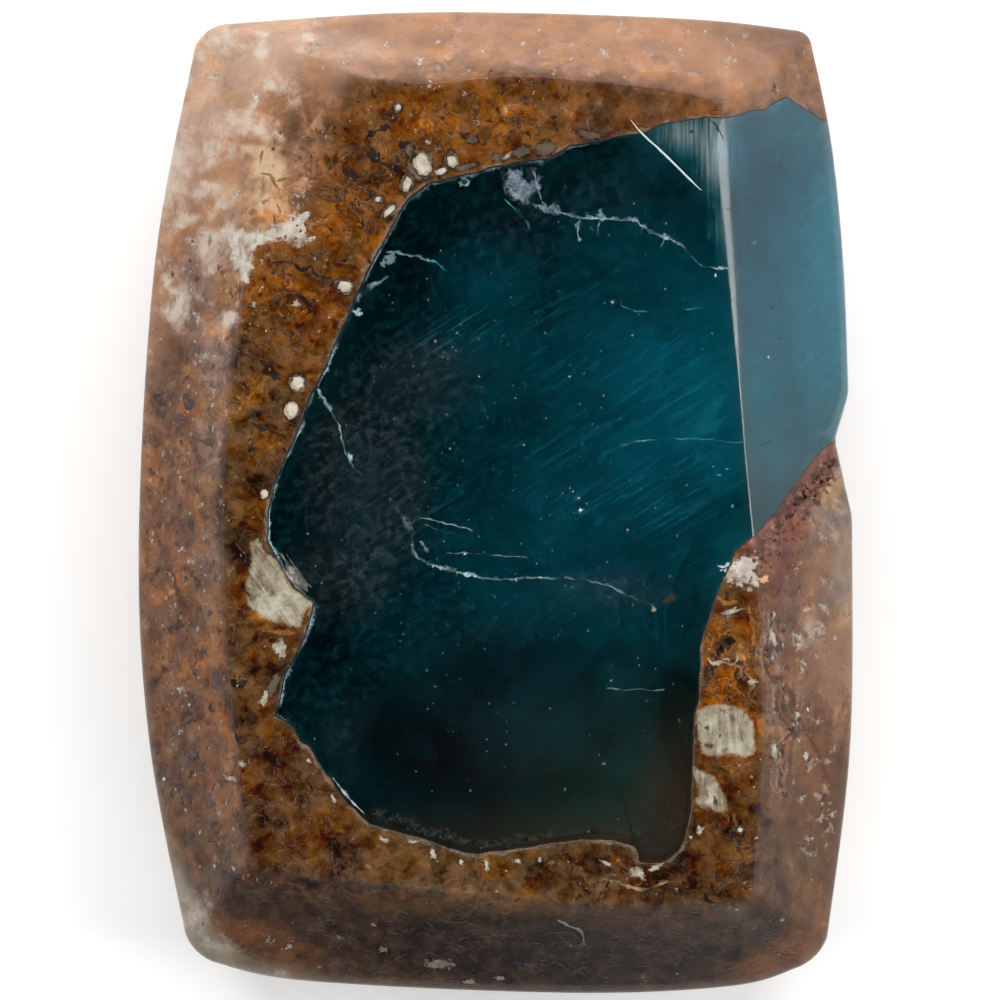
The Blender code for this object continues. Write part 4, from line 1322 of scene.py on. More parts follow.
# Dark and reddish flaws in the clay, an orange chip beside the tuft, and the brown eye on the right
clay_flaws = (
    (3.87, -4.11, 0.06, 0.05, 0, plum, 0.9), (4.10, -4.26, 0.05, 0.02, 80, bark, 0.8), (3.90, -4.44, 0.10, 0.05, 0, brick, 0.7),
    (4.20, -4.52, 0.09, 0.05, 20, tan, 0.6), (4.48, -4.20, 0.03, 0.16, 10, tan, 0.5), (4.26, -4.62, 0.20, 0.04, 5, orange, 0.7),
    (3.84, -5.30, 0.07, 0.10, 20, tan, 0.6), (4.02, -5.46, 0.05, 0.08, 0, bark, 0.6), (-4.30, -1.30, 0.03, 0.18, 25, tan, 0.3),
    (4.90, -1.41, 0.13, 0.07, 0, coral, 0.95), (4.22, -2.55, 0.24, 0.19, 30, bark, 0.85), (4.10, -2.70, 0.13, 0.09, 20, soot, 0.8),
    (4.28, -2.52, 0.12, 0.10, 0, soot, 0.6), (-3.62, 5.06, 0.03, 0.03, 0, brick, 0.9), (-3.70, 5.16, 0.03, 0.03, 0, brick, 0.8),
    (-3.56, 4.96, 0.04, 0.03, 0, brick, 0.8), (-3.84, 4.86, 0.05, 0.03, 0, brick, 0.7), (-3.66, 4.82, 0.05, 0.03, 0, brick, 0.7),
    (-4.06, 6.46, 0.04, 0.03, 20, soot, 0.9), (-4.20, 5.50, 0.14, 0.06, 30, orange, 0.5), (-4.44, 5.30, 0.10, 0.08, 0, orange, 0.4),
    (5.34, -4.44, 0.07, 0.14, 0, orange, 0.8), (5.42, -4.16, 0.09, 0.05, -30, soot, 0.7), (5.20, -2.98, 0.13, 0.26, 0, rose, 0.22),
    (3.66, -5.62, 0.10, 0.04, 0, orange, 0.6), (-3.86, -2.38, 0.34, 0.07, -6, orange, 0.75), (-4.24, -2.30, 0.20, 0.05, 8, orange, 0.5),
)
for x, y, half_width, half_height, tilt, tint, strength in clay_flaws:
    markings.fleck(x, y, half_width, half_height, tilt, tint, strength, 0.7, 0.5, 1.2, 11)
# White crumbs: each is a cluster of uneven flecks
white_crumbs = (
    (4.55, -6.95, 0.06, 0.04), (-4.31, 3.87, 0.08, 0.10), (-4.39, 3.63, 0.10, 0.09), (-4.22, 3.52, 0.05, 0.07),
    (-3.20, 5.15, 0.05, 0.06), (-3.29, 4.46, 0.07, 0.08), (-3.16, 6.75, 0.11, 0.09), (-2.68, 5.92, 0.06, 0.05),
    (-1.47, 6.77, 0.09, 0.07), (-1.25, 6.60, 0.12, 0.06), (-1.05, 6.47, 0.10, 0.06), (-3.51, 5.66, 0.07, 0.14),
    (-3.62, 5.40, 0.14, 0.08), (-3.40, 5.86, 0.05, 0.14), (-1.91, 7.24, 0.09, 0.07), (-1.84, 7.04, 0.07, 0.05),
    (-0.36, 6.95, 0.10, 0.06), (-5.43, 2.62, 0.20, 0.10), (-5.18, 2.06, 0.06, 0.20), (-5.76, -3.42, 0.16, 0.15),
    (-6.00, -3.71, 0.08, 0.09), (-5.78, -4.17, 0.10, 0.08), (-5.94, -4.35, 0.06, 0.08), (-5.26, -4.48, 0.09, 0.06),
    (-5.21, -5.45, 0.06, 0.06), (-6.15, 2.99, 0.10, 0.08), (-6.10, 0.06, 0.08, 0.05), (-6.05, -1.26, 0.05, 0.08),
    (-5.76, -0.86, 0.10, 0.08), (-3.76, -8.12, 0.14, 0.16), (-4.13, -8.01, 0.12, 0.10), (-1.09, -8.47, 0.30, 0.10),
    (-2.87, -7.97, 0.08, 0.07), (5.72, -6.18, 0.13, 0.09), (5.60, -5.40, 0.10, 0.10), (-5.62, 0.90, 0.06, 0.05),
    (-4.70, 1.90, 0.05, 0.07), (-5.36, 5.02, 0.10, 0.14), (-5.02, 5.30, 0.12, 0.06), (-4.82, 6.50, 0.07, 0.06),
    (-1.38, 8.06, 0.14, 0.12), (-1.18, 7.60, 0.16, 0.10), (-2.0, 8.38, 0.20, 0.07), (5.44, -1.20, 0.12, 0.08),
    (-0.60, 7.44, 0.10, 0.06), (-5.98, 4.18, 0.08, 0.14), (-5.70, 4.26, 0.14, 0.07), (-5.60, 3.94, 0.06, 0.12),
    (-5.86, 3.76, 0.14, 0.07), (-5.44, 3.40, 0.12, 0.16), (-5.36, 3.10, 0.07, 0.10), (1.40, 8.14, 0.12, 0.07),
    (1.96, 8.22, 0.14, 0.09), (3.38, 8.24, 0.11, 0.09), (0.90, 8.10, 0.07, 0.05), (-4.72, 5.62, 0.12, 0.09),
    (-3.45, 5.92, 0.06, 0.16), (-3.66, 5.64, 0.12, 0.12), (-4.90, 6.30, 0.07, 0.07), (-3.30, 8.30, 0.20, 0.10),
    (-5.20, 7.80, 0.14, 0.16), (-4.40, 7.40, 0.16, 0.10), (-5.60, 4.80, 0.20, 0.10), (-5.00, 4.14, 0.10, 0.14),
    (-0.20, 8.30, 0.16, 0.07), (5.80, -6.90, 0.05, 0.06), (5.52, -2.60, 0.10, 0.30), (5.62, -3.10, 0.08, 0.16),
)
for x, y, half_width, half_height in white_crumbs:
    size = math.hypot(half_width, half_height)
    for _ in range(3 + int(size * 20)):
        angle, reach = random.uniform(0, 2 * math.pi), random.uniform(0, 1.1)
        part = size * random.uniform(0.18, 0.50) * (1.15 - 0.5 * reach)
        markings.fleck(x + half_width * reach * math.cos(angle), y + half_height * reach * math.sin(angle), part,
                       part * random.uniform(0.5, 0.9), random.uniform(-90, 90),
                       random.choice((milk, milk, bone, rose)), random.uniform(0.35, 0.75), 0.9, 0.9)

film = Finish("chalcedony_markings")
place = film.place()
mottle = film.grain(film.warped(place, 5.0, 0.1), 6.0, 5.0, 0.68)
tint = film.vector('SCALE', film.known("tint", "Color"), film.step(mottle, 0.32, 0.68, 0.74, 1.20))
frays = film.sum('SUBTRACT', film.grain(film.warped(place, 8.0, 0.06), 13.0, 3.0, 0.6), 0.5)
seen = film.step(film.sum('MULTIPLY_ADD', frays, 2.0, film.known("shape")), 0.20, 0.75)
film.surface(Base_Color=tint, Roughness=film.step(mottle, 0.3, 0.7, 0.24, 0.45),
             Alpha=film.sum('MULTIPLY', seen, film.known("strength")), IOR=1.54, Specular_IOR_Level=0.25)
film.relief(mottle, 0.000004)
markings_object = markings.finish("chalcedony_markings", False, film.material)

# The crystal: one large apatite, deep teal and clear, cut flush with the table and the bevel.
# Its colour comes from its depth: thin places are paler, and the light falls off quickly.

apatite = Finish("apatite_crystal")
place = apatite.place()
polish = apatite.grain(apatite.place(stretch=(9.0, 0.7, 1.0), turn=80.0), 1.6, 4.0, 0.6)
smudge = apatite.step(apatite.grain(place, 0.8, 4.0, 0.6), 0.35, 0.75, 0.02, 0.07)
smudge = apatite.sum('MULTIPLY_ADD', apatite.known("worn"), 0.20, smudge)
apatite.surface(Base_Color=(1.0, 1.0, 1.0, 1.0), Transmission_Weight=1.0, IOR=1.63, Roughness=smudge)
apatite.relief(polish, 0.0000008, 0.6)
absorption = apatite.tree.nodes.new("ShaderNodeVolumeAbsorption")
absorption.inputs["Color"].default_value = (0.03, 0.775, 0.832, 1.0)
absorption.inputs["Density"].default_value = 850
apatite.tree.links.new(absorption.outputs["Volume"], apatite.tree.nodes["Material Output"].inputs["Volume"])
crystal = skin_mesh(True)
line_pocket(crystal, seal)
for face in crystal.faces:
    face.material_index = 0
crystal.verts.ensure_lookup_table()
crystal_spots = np.array([tuple(vert.co) for vert in crystal.verts])
edge_distance = distance_to(crystal_spots[:, :2], np.vstack([table, table[:1]]))
crystal_object = finish_mesh("apatite_crystal", crystal, apatite.material)
keep(crystal_object.data, "worn", np.clip(1.2 - edge_distance / 0.28, 0, 1) * (crystal_spots[:, 2] > table_height - 0.4))
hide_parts("apatite")

# The crystal's flaws: healed cracks, scratches, chips, pits and specks that reach its polished
# face, and a ragged white fringe where it meets the chalcedony. All lie as a film on the face.

frost = (0.22, 0.33, 0.36)
cold_white = (0.55, 0.62, 0.64)
teal = (0.03, 0.26, 0.34)
lavender = (0.22, 0.27, 0.33)
pit = (0.004, 0.010, 0.012)

random.seed(31)
flaws = Film()
# Cracks: line, half width, tint, strength, and how far the fringe reaches left and right
cracks = (
    (((0.85, 5.43), (1.2, 5.3), (1.55, 5.21), (1.9, 5.19), (2.25, 5.16)), 0.012, frost, 0.80, 0.03, 0.14),
    (((2.25, 5.16), (2.55, 5.15), (2.76, 4.99), (2.99, 4.88), (3.31, 4.77)), 0.011, frost, 0.75, 0.03, 0.08),
    (((3.31, 4.77), (3.54, 4.55), (3.73, 4.35), (3.93, 4.29), (4.24, 4.28)), 0.010, frost, 0.65, 0.02, 0.04),
    (((1.55, 5.21), (1.51, 5.03), (1.53, 4.77)), 0.009, frost, 0.45, 0.06, 0.06),
    (((1.9, 5.19), (1.86, 4.9)), 0.008, frost, 0.40, 0.03, 0.03),
    (((1.73, 5.03), (1.91, 4.86)), 0.009, frost, 0.45, 0.03, 0.03),
    (((2.70, 5.02), (2.62, 4.86)), 0.008, frost, 0.35, 0.02, 0.02),
    (((3.10, 4.84), (3.02, 4.66)), 0.007, frost, 0.35, 0.02, 0.02),
    (((-3.25, 2.01), (-3.12, 1.86), (-2.98, 1.66)), 0.020, frost, 0.75, 0.06, 0.02),
    (((-2.98, 1.66), (-2.86, 1.42), (-2.81, 1.18), (-2.72, 0.91), (-2.54, 0.58), (-2.28, 0.47)), 0.009, frost, 0.6,
     0.04, 0.02),
    (((-1.88, -0.03), (-1.64, -0.27), (-1.53, -0.5), (-1.51, -0.89), (-1.34, -1.05), (-1.18, -1.14)), 0.009, frost, 0.4,
     0.03, 0.06),
    (((-1.18, -1.14), (-0.98, -1.20), (-0.8, -1.24), (-0.5, -1.32), (-0.1, -1.4)), 0.016, frost, 0.9, 0.03, 0.06),
    (((-0.1, -1.4), (0.4, -1.40), (0.89, -1.38), (1.58, -1.4)), 0.010, frost, 0.60, 0.02, 0.04),
    (((1.58, -1.4), (2.06, -1.53), (2.52, -1.75), (2.88, -1.9)), 0.009, frost, 0.35, 0.02, 0.05),
    (((-1.94, 0.06), (-1.74, -0.22), (-1.54, -0.54)), 0.05, frost, 0.30, 0.03, 0.03),
    (((-1.38, -0.70), (-1.30, -0.80), (-1.24, -0.92)), 0.035, frost, 0.35, 0.02, 0.02),
    (((-1.49, -0.87), (-1.38, -1.03)), 0.025, frost, 0.45, 0.01, 0.01),
    (((2.28, 1.05), (2.50, 1.10), (2.76, 1.14)), 0.009, frost, 0.40, 0.02, 0.01),
    (((2.76, 1.14), (3.2, 1.16), (3.69, 1.16), (4.53, 1.09)), 0.008, teal, 0.6, 0.01, 0.03),
    (((4.70, 1.05), (4.90, 1.07), (5.08, 1.13)), 0.010, pit, 0.7, 0.01, 0.01),
    (((2.30, 3.71), (2.32, 3.58), (2.52, 3.52), (2.76, 3.49), (3.21, 3.51), (3.80, 3.56)), 0.008, teal, 0.7, 0.01,
     0.01),
    (((-1.42, -0.25), (-0.90, -0.38), (-0.40, -0.5)), 0.009, frost, 0.60, 0.01, 0.01),
    (((-0.89, -0.91), (-0.2, -0.95), (0.58, -1.0)), 0.008, frost, 0.55, 0.01, 0.01),
    (((-1.30, -0.42), (-0.70, -0.60)), 0.006, frost, 0.3, 0.01, 0.01),
    (((2.02, -3.40), (2.6, -3.42), (3.09, -3.43)), 0.008, frost, 0.28, 0.01, 0.02),
    (((-2.0, 4.57), (-1.79, 4.57), (-1.60, 4.50), (-1.45, 4.50), (-1.2, 4.4)), 0.012, frost, 0.65, 0.02, 0.05),
    (((-1.2, 4.4), (-1.05, 4.36), (-0.90, 4.20)), 0.007, teal, 0.6, 0.02, 0.03),
    (((-2.75, 3.60), (-2.61, 3.71), (-2.40, 3.86), (-2.21, 3.98), (-1.96, 4.14)), 0.035, frost, 0.30, 0.06, 0.03),
    (((-2.62, 3.50), (-2.50, 3.45), (-2.42, 3.45)), 0.020, frost, 0.8, 0.02, 0.02),
    (((0.17, 5.54), (0.31, 5.42), (0.45, 5.26), (0.57, 5.12), (0.65, 4.97)), 0.008, teal, 0.5, 0.01, 0.02),
    (((0.16, 6.07), (0.15, 5.94), (0.20, 5.80), (0.34, 5.64), (0.56, 5.50), (0.84, 5.40)), 0.025, frost, 0.60,
     0.10, 0.02),
    (((0.66, 6.14), (0.71, 5.96), (0.76, 5.78), (0.86, 5.46)), 0.014, lavender, 0.55, 0.02, 0.05),
    (((0.80, 5.40), (0.98, 5.32), (1.16, 5.28)), 0.040, frost, 0.40, 0.05, 0.06),
    (((3.75, 7.28), (4.0, 6.92), (4.19, 6.60)), 0.014, pit, 0.85, 0.01, 0.01),
    (((4.12, 5.70), (4.33, 5.69)), 0.006, pit, 0.8, 0.01, 0.0), (((4.12, 5.35), (4.32, 5.36)), 0.006, pit, 0.8, 0.01, 0.0),
    (((4.19, 4.33), (4.36, 4.32)), 0.006, pit, 0.8, 0.01, 0.0), (((4.22, 3.69), (4.38, 3.70)), 0.006, pit, 0.7, 0.01, 0.0),
)
for line, half_width, tint, strength, left, right in cracks:
    run = smooth_run(line, 12 * len(line))
    shaken = [(x + 0.028 * noise.noise(Vector((x * 6, y * 6, 2.0))) + 0.014 * noise.noise(Vector((x * 17, y * 17, 2.0))),
               y + 0.028 * noise.noise(Vector((x * 6, y * 6, 6.0))) + 0.014 * noise.noise(Vector((x * 17, y * 17, 6.0))))
              for x, y in run]
    flaws.thread(shaken, half_width * 1.4, tint, strength * 0.85, left, right, 1.3, 0.022)

# Strands of the white clay reach into the crystal beside the left patch
flaws.thread(smooth_run(((-2.97, -5.03), (-2.68, -5.40), (-2.40, -5.68)), 16), 0.020, cold_white, 0.8, 0.01, 0.02)
for strand in range(8):
    shift = np.array((0.024, 0.014)) * strand
    strand_line = np.array(((-4.02, -0.98), (-3.86, -1.24), (-3.62, -1.56), (-3.36, -1.78))) + shift
    flaws.thread(smooth_run(strand_line, 24)[random.randrange(8):24 - random.randrange(8)], 0.017, milk,
                 1.0 - 0.10 * strand, 0.01, 0.02, 1.0)
# The fringe along the contact, ragged and widest down the left side
for first in range(len(contact) // 8, int(len(contact) * 0.52), 4):
    part = contact[first:first + 6]
    x, y = part.mean(0)
    if crown_height(x, y) < table_height - 0.01:
        continue
    side = 0.55 if x < -1.6 else 0.25
    strength = side * max(0.1, 0.8 + 1.8 * noise.noise(Vector((x * 1.3, y * 1.3, 3.0))))
    heading = np.gradient(part, axis=0)
    inward = part + 0.020 * heading[:, ::-1] * (-1, 1) / 0.055
    flaws.thread(inward, 0.016, frost, strength, 0.0, random.uniform(0.02, 0.09), 1.2, 0.03)

# Brown silt in the crystal's thin rim along the lower contact
silt = (0.042, 0.034, 0.025)
silt_line = smooth_run(((-2.25, -5.74), (-1.85, -5.95), (-0.36, -6.35), (0.85, -6.18), (2.30, -6.13), (2.68, -6.38), (3.10, -6.38),
                        (3.36, -5.9)), 60)
for number, (x, y) in enumerate(silt_line):
    flaws.fleck(x + random.gauss(0, 0.05), y + random.gauss(0.10, 0.05), 0.22, 0.15, 0, silt, 0.35 if x < 1 else 0.12, 0.6, 1.0,
                1.0, number % 4)

# Chips and clouded cleavage: middle, half width and height, tilt, tint, strength. Then specks.
specks = (
    (0.40, 5.88, 0.28, 0.30, 20, lavender, 0.40), (0.55, 5.68, 0.22, 0.30, -35, lavender, 0.35),
    (0.62, 6.00, 0.10, 0.18, 10, pit, 0.50), (0.30, 5.98, 0.12, 0.12, 0, lavender, 0.40),
    (-1.92, 4.47, 0.11, 0.16, -20, frost, 0.45), (-2.05, 4.36, 0.06, 0.10, -20, frost, 0.45),
    (-2.50, 3.52, 0.06, 0.05, 20, frost, 0.7), (-3.22, 2.02, 0.05, 0.08, 20, frost, 0.7),
    (-2.65, 0.81, 0.040, 0.12, 15, frost, 0.8), (2.88, -1.95, 0.07, 0.05, 0, bone, 0.7),
    (3.18, -1.75, 0.20, 0.07, 20, bark, 0.5), (4.02, 4.15, 0.025, 0.045, 0, cold_white, 0.9),
    (4.14, -1.17, 0.10, 0.025, -12, cold_white, 0.8), (4.26, -1.13, 0.10, 0.05, 10, milk, 0.8),
    (4.22, -1.24, 0.07, 0.05, 0, milk, 0.7), (4.12, -1.24, 0.05, 0.02, 20, cold_white, 0.5),
    (1.99, -4.77, 0.07, 0.05, 0, frost, 0.18), (4.73, 4.75, 0.06, 0.04, 0, frost, 0.25),
    (5.21, 2.99, 0.04, 0.04, 0, pit, 0.4), (5.06, 3.58, 0.04, 0.06, 0, pit, 0.6), (5.62, 5.10, 0.03, 0.03, 0, pit, 0.35),
    (-0.58, 5.87, 0.12, 0.10, 0, frost, 0.85), (-0.58, 5.87, 0.085, 0.065, 0, pit, 1.0), (3.58, 6.78, 0.06, 0.045, 0, pit, 0.8),
    (4.33, -0.06, 0.05, 0.05, 0, teal, 0.5), (4.08, 0.50, 0.05, 0.03, 0, teal, 0.5), (4.24, 0.61, 0.05, 0.03, 0, teal, 0.5),
)
for number, (x, y, half_width, half_height, tilt, tint, strength) in enumerate(specks):
    flaws.fleck(x, y, half_width, half_height, tilt, tint, strength, 0.7, 0.45, 1.1, 8 + number % 8)
# Bright specks: middle, half size and strength
bright_specks = (
    (-0.56, -0.94, 0.025, 0.9), (-1.13, -1.16, 0.04, 0.6), (-0.70, -1.27, 0.04, 0.6), (0.38, -1.42, 0.025, 0.7),
    (2.50, 3.05, 0.022, 0.7), (1.35, 2.30, 0.022, 0.7), (1.62, 2.35, 0.020, 0.6), (1.97, 1.95, 0.018, 0.6),
    (2.28, 1.53, 0.018, 0.6), (0.52, 1.05, 0.020, 0.6), (1.42, 0.20, 0.024, 0.6), (1.52, 0.08, 0.030, 0.8),
    (1.55, -0.14, 0.036, 1.0), (1.36, 0.26, 0.018, 0.5), (1.66, -0.02, 0.016, 0.5), (2.41, -0.50, 0.024, 0.9),
    (4.99, 2.66, 0.030, 0.8), (3.49, 0.32, 0.018, 0.5), (3.41, -2.26, 0.016, 0.6), (2.11, -3.25, 0.022, 0.6),
    (2.59, -3.47, 0.016, 0.6), (1.27, -5.23, 0.022, 0.5), (0.19, -4.42, 0.016, 0.5), (-1.68, -2.41, 0.016, 0.5),
    (-3.29, -1.16, 0.016, 0.5), (2.14, 3.66, 0.034, 0.8), (3.10, 3.90, 0.016, 0.5), (0.90, 3.10, 0.018, 0.5),
    (-0.30, 2.30, 0.018, 0.5), (-1.10, 2.95, 0.020, 0.6), (-0.70, 3.10, 0.022, 0.6), (-0.95, 2.75, 0.016, 0.5),
)
for x, y, size, strength in bright_specks:
    flaws.fleck(x, y, size * 2.6, size * 2.6, 0, frost, strength * 0.30, 0.9, 1.0, 1.0, 8)
    flaws.fleck(x, y, size, size * 0.8, random.uniform(0, 90), cold_white, strength * 0.8, 0.9, 0.8, 1.5, 9)
# Fine dust and bubbles, mostly left and below
for _ in range(520):
    x, y = random.gauss(0.2, 2.2), random.gauss(0.4, 3.2)
    if x < 4.2:
        size = random.uniform(0.010, 0.028)
        flaws.fleck(x, y, size, size, 0, random.choice((frost, frost, teal)), random.uniform(0.06, 0.36), 0.5, 0.7, 1.4)

flawed = Finish("crystal_flaws")
place = flawed.place()
mottle = flawed.grain(flawed.warped(place, 6.0, 0.1), 9.0, 5.0, 0.68)
frays = flawed.sum('SUBTRACT', flawed.grain(place, 22.0, 3.0, 0.6), 0.5)
seen = flawed.step(flawed.sum('MULTIPLY_ADD', frays, 2.2, flawed.known("shape")), 0.25, 1.0)
flawed.surface(Base_Color=flawed.vector('SCALE', flawed.known("tint", "Color"), flawed.step(mottle, 0.3, 0.7, 0.6, 1.3)),
               Roughness=flawed.step(mottle, 0.3, 0.7, 0.3, 0.5),
               Alpha=flawed.sum('MULTIPLY', seen, flawed.known("strength")))
flawed.relief(mottle, 0.000003)
flaws_object = flaws.finish("crystal_flaws", True, flawed.material)

# The haze in the crystal just below its face: grey clouds on the left, fine upright streaks in the
# lower third, slanting silk on the right, partly a painted glow, milky streaks at the top, and the
# bevel's duller polish with a painted pale blue reflection.

# Middle, reach and amount of each
hazes = {
    "mottled": (((-2.4, 0.4), (1.1, 1.8), 1.0), ((-2.8, -1.2), (1.0, 1.0), 0.8), ((-1.4, 2.2), (1.2, 0.9), 0.7),
                ((-2.6, -4.2), (0.9, 1.0), 0.4), ((-1.2, -5.4), (1.2, 0.6), 0.4), ((0.2, -3.0), (2.0, 1.6), 0.30),
                ((0.3, 5.0), (1.2, 1.0), 0.35), ((2.0, 5.6), (1.6, 0.8), 0.35), ((2.0, -1.6), (1.6, 0.5), 0.5)),
    "streaked": (((1.2, -4.0), (2.8, 2.1), 0.7), ((3.0, -3.4), (0.9, 1.8), 3.0)),
    "earthy": (((3.2, -5.6), (0.70, 1.3), 0.95), ((0.8, -6.0), (2.6, 0.45), 0.6),
               ((1.0, -4.6), (2.2, 1.3), 0.25)),
    # Slanting silk, which on the right also carries a painted glow where light comes in through the bevel
    "silky_and_glow": (((3.3, 1.6), (1.5, 1.6), 1.0), ((3.4, 0.2), (1.3, 1.2), 0.9), ((1.8, 0.6), (1.6, 1.6), 0.7),
              ((1.6, 3.0), (2.0, 1.6), 0.5), ((-0.5, 3.25), (0.40, 0.24), 2.2), ((-0.9, 2.95), (0.8, 0.4), 0.9),
              ((-1.0, -0.5), (2.0, 2.4), 0.3)),
    "milky": (((4.05, 6.55), (0.30, 0.75), 1.0), ((3.5, 6.75), (0.60, 0.34), 0.60), ((4.16, 5.3), (0.09, 0.9), 0.45)),
}
sheet = bmesh.new()
sheet_points = {}
for part, places, faces, shown in (("top", np.column_stack([net_points, net_heights]) + (0, 0, 0.0012), net_faces, in_crystal),
                                   ("side", np.array(wall_in_space) * (1.0003, 1.0003, 1.0), wall_faces, in_window)):
    for face in faces[shown]:
        for k in face:
            if (part, k) not in sheet_points:
                sheet_points[part, k] = sheet.verts.new(places[k])
        sheet.faces.new([sheet_points[part, k] for k in face])
sheet_places = np.array([tuple(vert.co) for vert in sheet.verts])
sheet_spots, sheet_heights = sheet_places[:, :2], sheet_places[:, 2]
hazy = Finish("crystal_haze")
place = hazy.place()
grains = hazy.grain(hazy.warped(place, 2.5, 0.3), 6.0, 5.0, 0.72)
clouds_seen = hazy.sum('MULTIPLY', hazy.step(grains, 0.42, 0.68), hazy.step(hazy.grain(place, 0.9, 3.0), 0.38, 0.60))
upright = hazy.grain(hazy.place(stretch=(0.045, 1.4, 1.0)), 1.0, 4.0, 0.6)
slanting = hazy.grain(hazy.warped(hazy.place(stretch=(0.9, 0.050, 1.0), turn=33.0), 0.6, 0.4), 1.0, 5.0, 0.62)
mottled = hazy.sum('MULTIPLY', hazy.known("mottled"), hazy.sum('MULTIPLY_ADD', clouds_seen, 0.027, 0.007))
streaked = hazy.sum('MULTIPLY', hazy.known("streaked"), hazy.step(upright, 0.34, 0.68, 0.0, 0.010))
earthy = hazy.sum('MULTIPLY', hazy.known("earthy"), hazy.step(upright, 0.30, 0.70, 0.38, 0.54))
# The slanting silk's teal on the right is partly a painted glow.
silky_and_glow = hazy.sum('MULTIPLY', hazy.known("silky_and_glow"), hazy.step(slanting, 0.47, 0.68, 0.0, 0.085))
silky_and_glow = hazy.sum('ADD', silky_and_glow, hazy.step(grains, 0.44, 0.70, 0.0, 0.020))
milky = hazy.sum('MULTIPLY', hazy.known("milky"), hazy.step(upright, 0.30, 0.68, 0.08, 0.44))
veil = hazy.sum('ADD', hazy.sum('ADD', mottled, streaked), hazy.sum('ADD', silky_and_glow, milky))
ground_and_reflection = hazy.sum('MULTIPLY', hazy.known("ground_and_reflection"), hazy.step(upright, 0.3, 0.7, 0.088, 0.108))
veil = hazy.sum('ADD', veil, hazy.sum('ADD', ground_and_reflection, earthy))
haze_colour = hazy.blend(hazy.step(hazy.sum('ADD', hazy.known("mottled"), hazy.known("milky")), 0.1, 0.6),
                         (0.03, 0.40, 0.50, 1.0), (0.36, 0.50, 0.53, 1.0))
haze_colour = hazy.blend(hazy.step(hazy.known("earthy"), 0.0, 0.03), haze_colour, (0.0260, 0.0135, 0.0085, 1.0))
# The bevel's pale blue is a painted reflection over its duller polish.
haze_colour = hazy.blend(hazy.step(hazy.known("ground_and_reflection"), 0.0, 1.0), haze_colour, (0.14, 0.36, 0.52, 1.0))
hazy.surface(Base_Color=haze_colour, Roughness=0.5, Alpha=veil, Specular_IOR_Level=0.0)
haze_object = finish_mesh("crystal_haze", sheet, hazy.material)
for name, parts in hazes.items():
    amounts = np.zeros(len(sheet_spots))
    for middle, reach, amount in parts:
        amounts = np.maximum(amounts, amount * np.exp(-(((sheet_spots - middle) / reach) ** 2).sum(1)))
    keep(haze_object.data, name, amounts)
# The bevel's veil grows towards the top and is four times as strong on the wall.
stronger_toward_top = np.interp(sheet_spots[:, 1], (-0.5, 4.0), (0.15, 1.0))
stronger_on_wall = np.where(sheet_heights < wall_top - 0.01, 4.0, 1.0)
keep(haze_object.data, "ground_and_reflection", np.clip((table_height - 0.03 - sheet_heights) * 8, 0, 1) * stronger_toward_top * stronger_on_wall)

# A lint fibre lies on the table near the upper right: one white thread with a kink and a fork

fibre_radius = 0.018
fibre = bmesh.new()


def add_fibre(line, radius):
    """A thin round thread along a line, tapered to its ends."""
    run = smooth_run(line, 26)
    heading = np.gradient(run, axis=0)
    heading /= np.linalg.norm(heading, axis=1)[:, None]
    rings = []
    for step, ((x, y), (along_x, along_y)) in enumerate(zip(run, heading)):
        part = step / (len(run) - 1)
        thick = radius * min(1.0, 0.3 + 4 * part, 0.3 + 4 * (1 - part)) * (1 + 0.2 * noise.noise(Vector((x * 4, y * 4, 0))))
        rest = crown_height(x, y) + radius + 0.02 * math.sin(math.pi * part)
        ring = []
        for k in range(10):
            angle = 2 * math.pi * k / 10
            out = thick * math.cos(angle)
            ring.append(fibre.verts.new((x - along_y * out, y + along_x * out, rest + thick * math.sin(angle))))
        rings.append(ring)
    for one, other in zip(rings, rings[1:]):
        for k in range(10):
            fibre.faces.new((one[k], other[k], other[(k + 1) % 10], one[(k + 1) % 10]))
    fibre.faces.new(rings[0][::-1])
    fibre.faces.new(rings[-1])


add_fibre(((2.47, 6.99), (2.62, 6.80), (2.80, 6.62), (2.97, 6.47), (3.30, 6.15), (3.55, 5.90), (3.76, 5.70)), fibre_radius)
add_fibre(((2.97, 6.47), (3.02, 6.40), (3.10, 6.36)), fibre_radius * 0.6)
bmesh.ops.recalc_face_normals(fibre, faces=fibre.faces)
cotton = Finish("lint_fibre")
twist = cotton.grain(cotton.place(stretch=(0.4, 0.05, 0.05), turn=-45.0), 1.0, 4.0)
cotton.surface(Base_Color=cotton.blend(twist, (0.22, 0.28, 0.29, 1.0), (0.62, 0.68, 0.68, 1.0)),
               Roughness=cotton.step(twist, 0.3, 0.7, 0.45, 0.7))
cotton.relief(twist, 0.000003)
fibre_object = finish_mesh("lint_fibre", fibre, cotton.material)

# The stone lies flat on a pale studio table

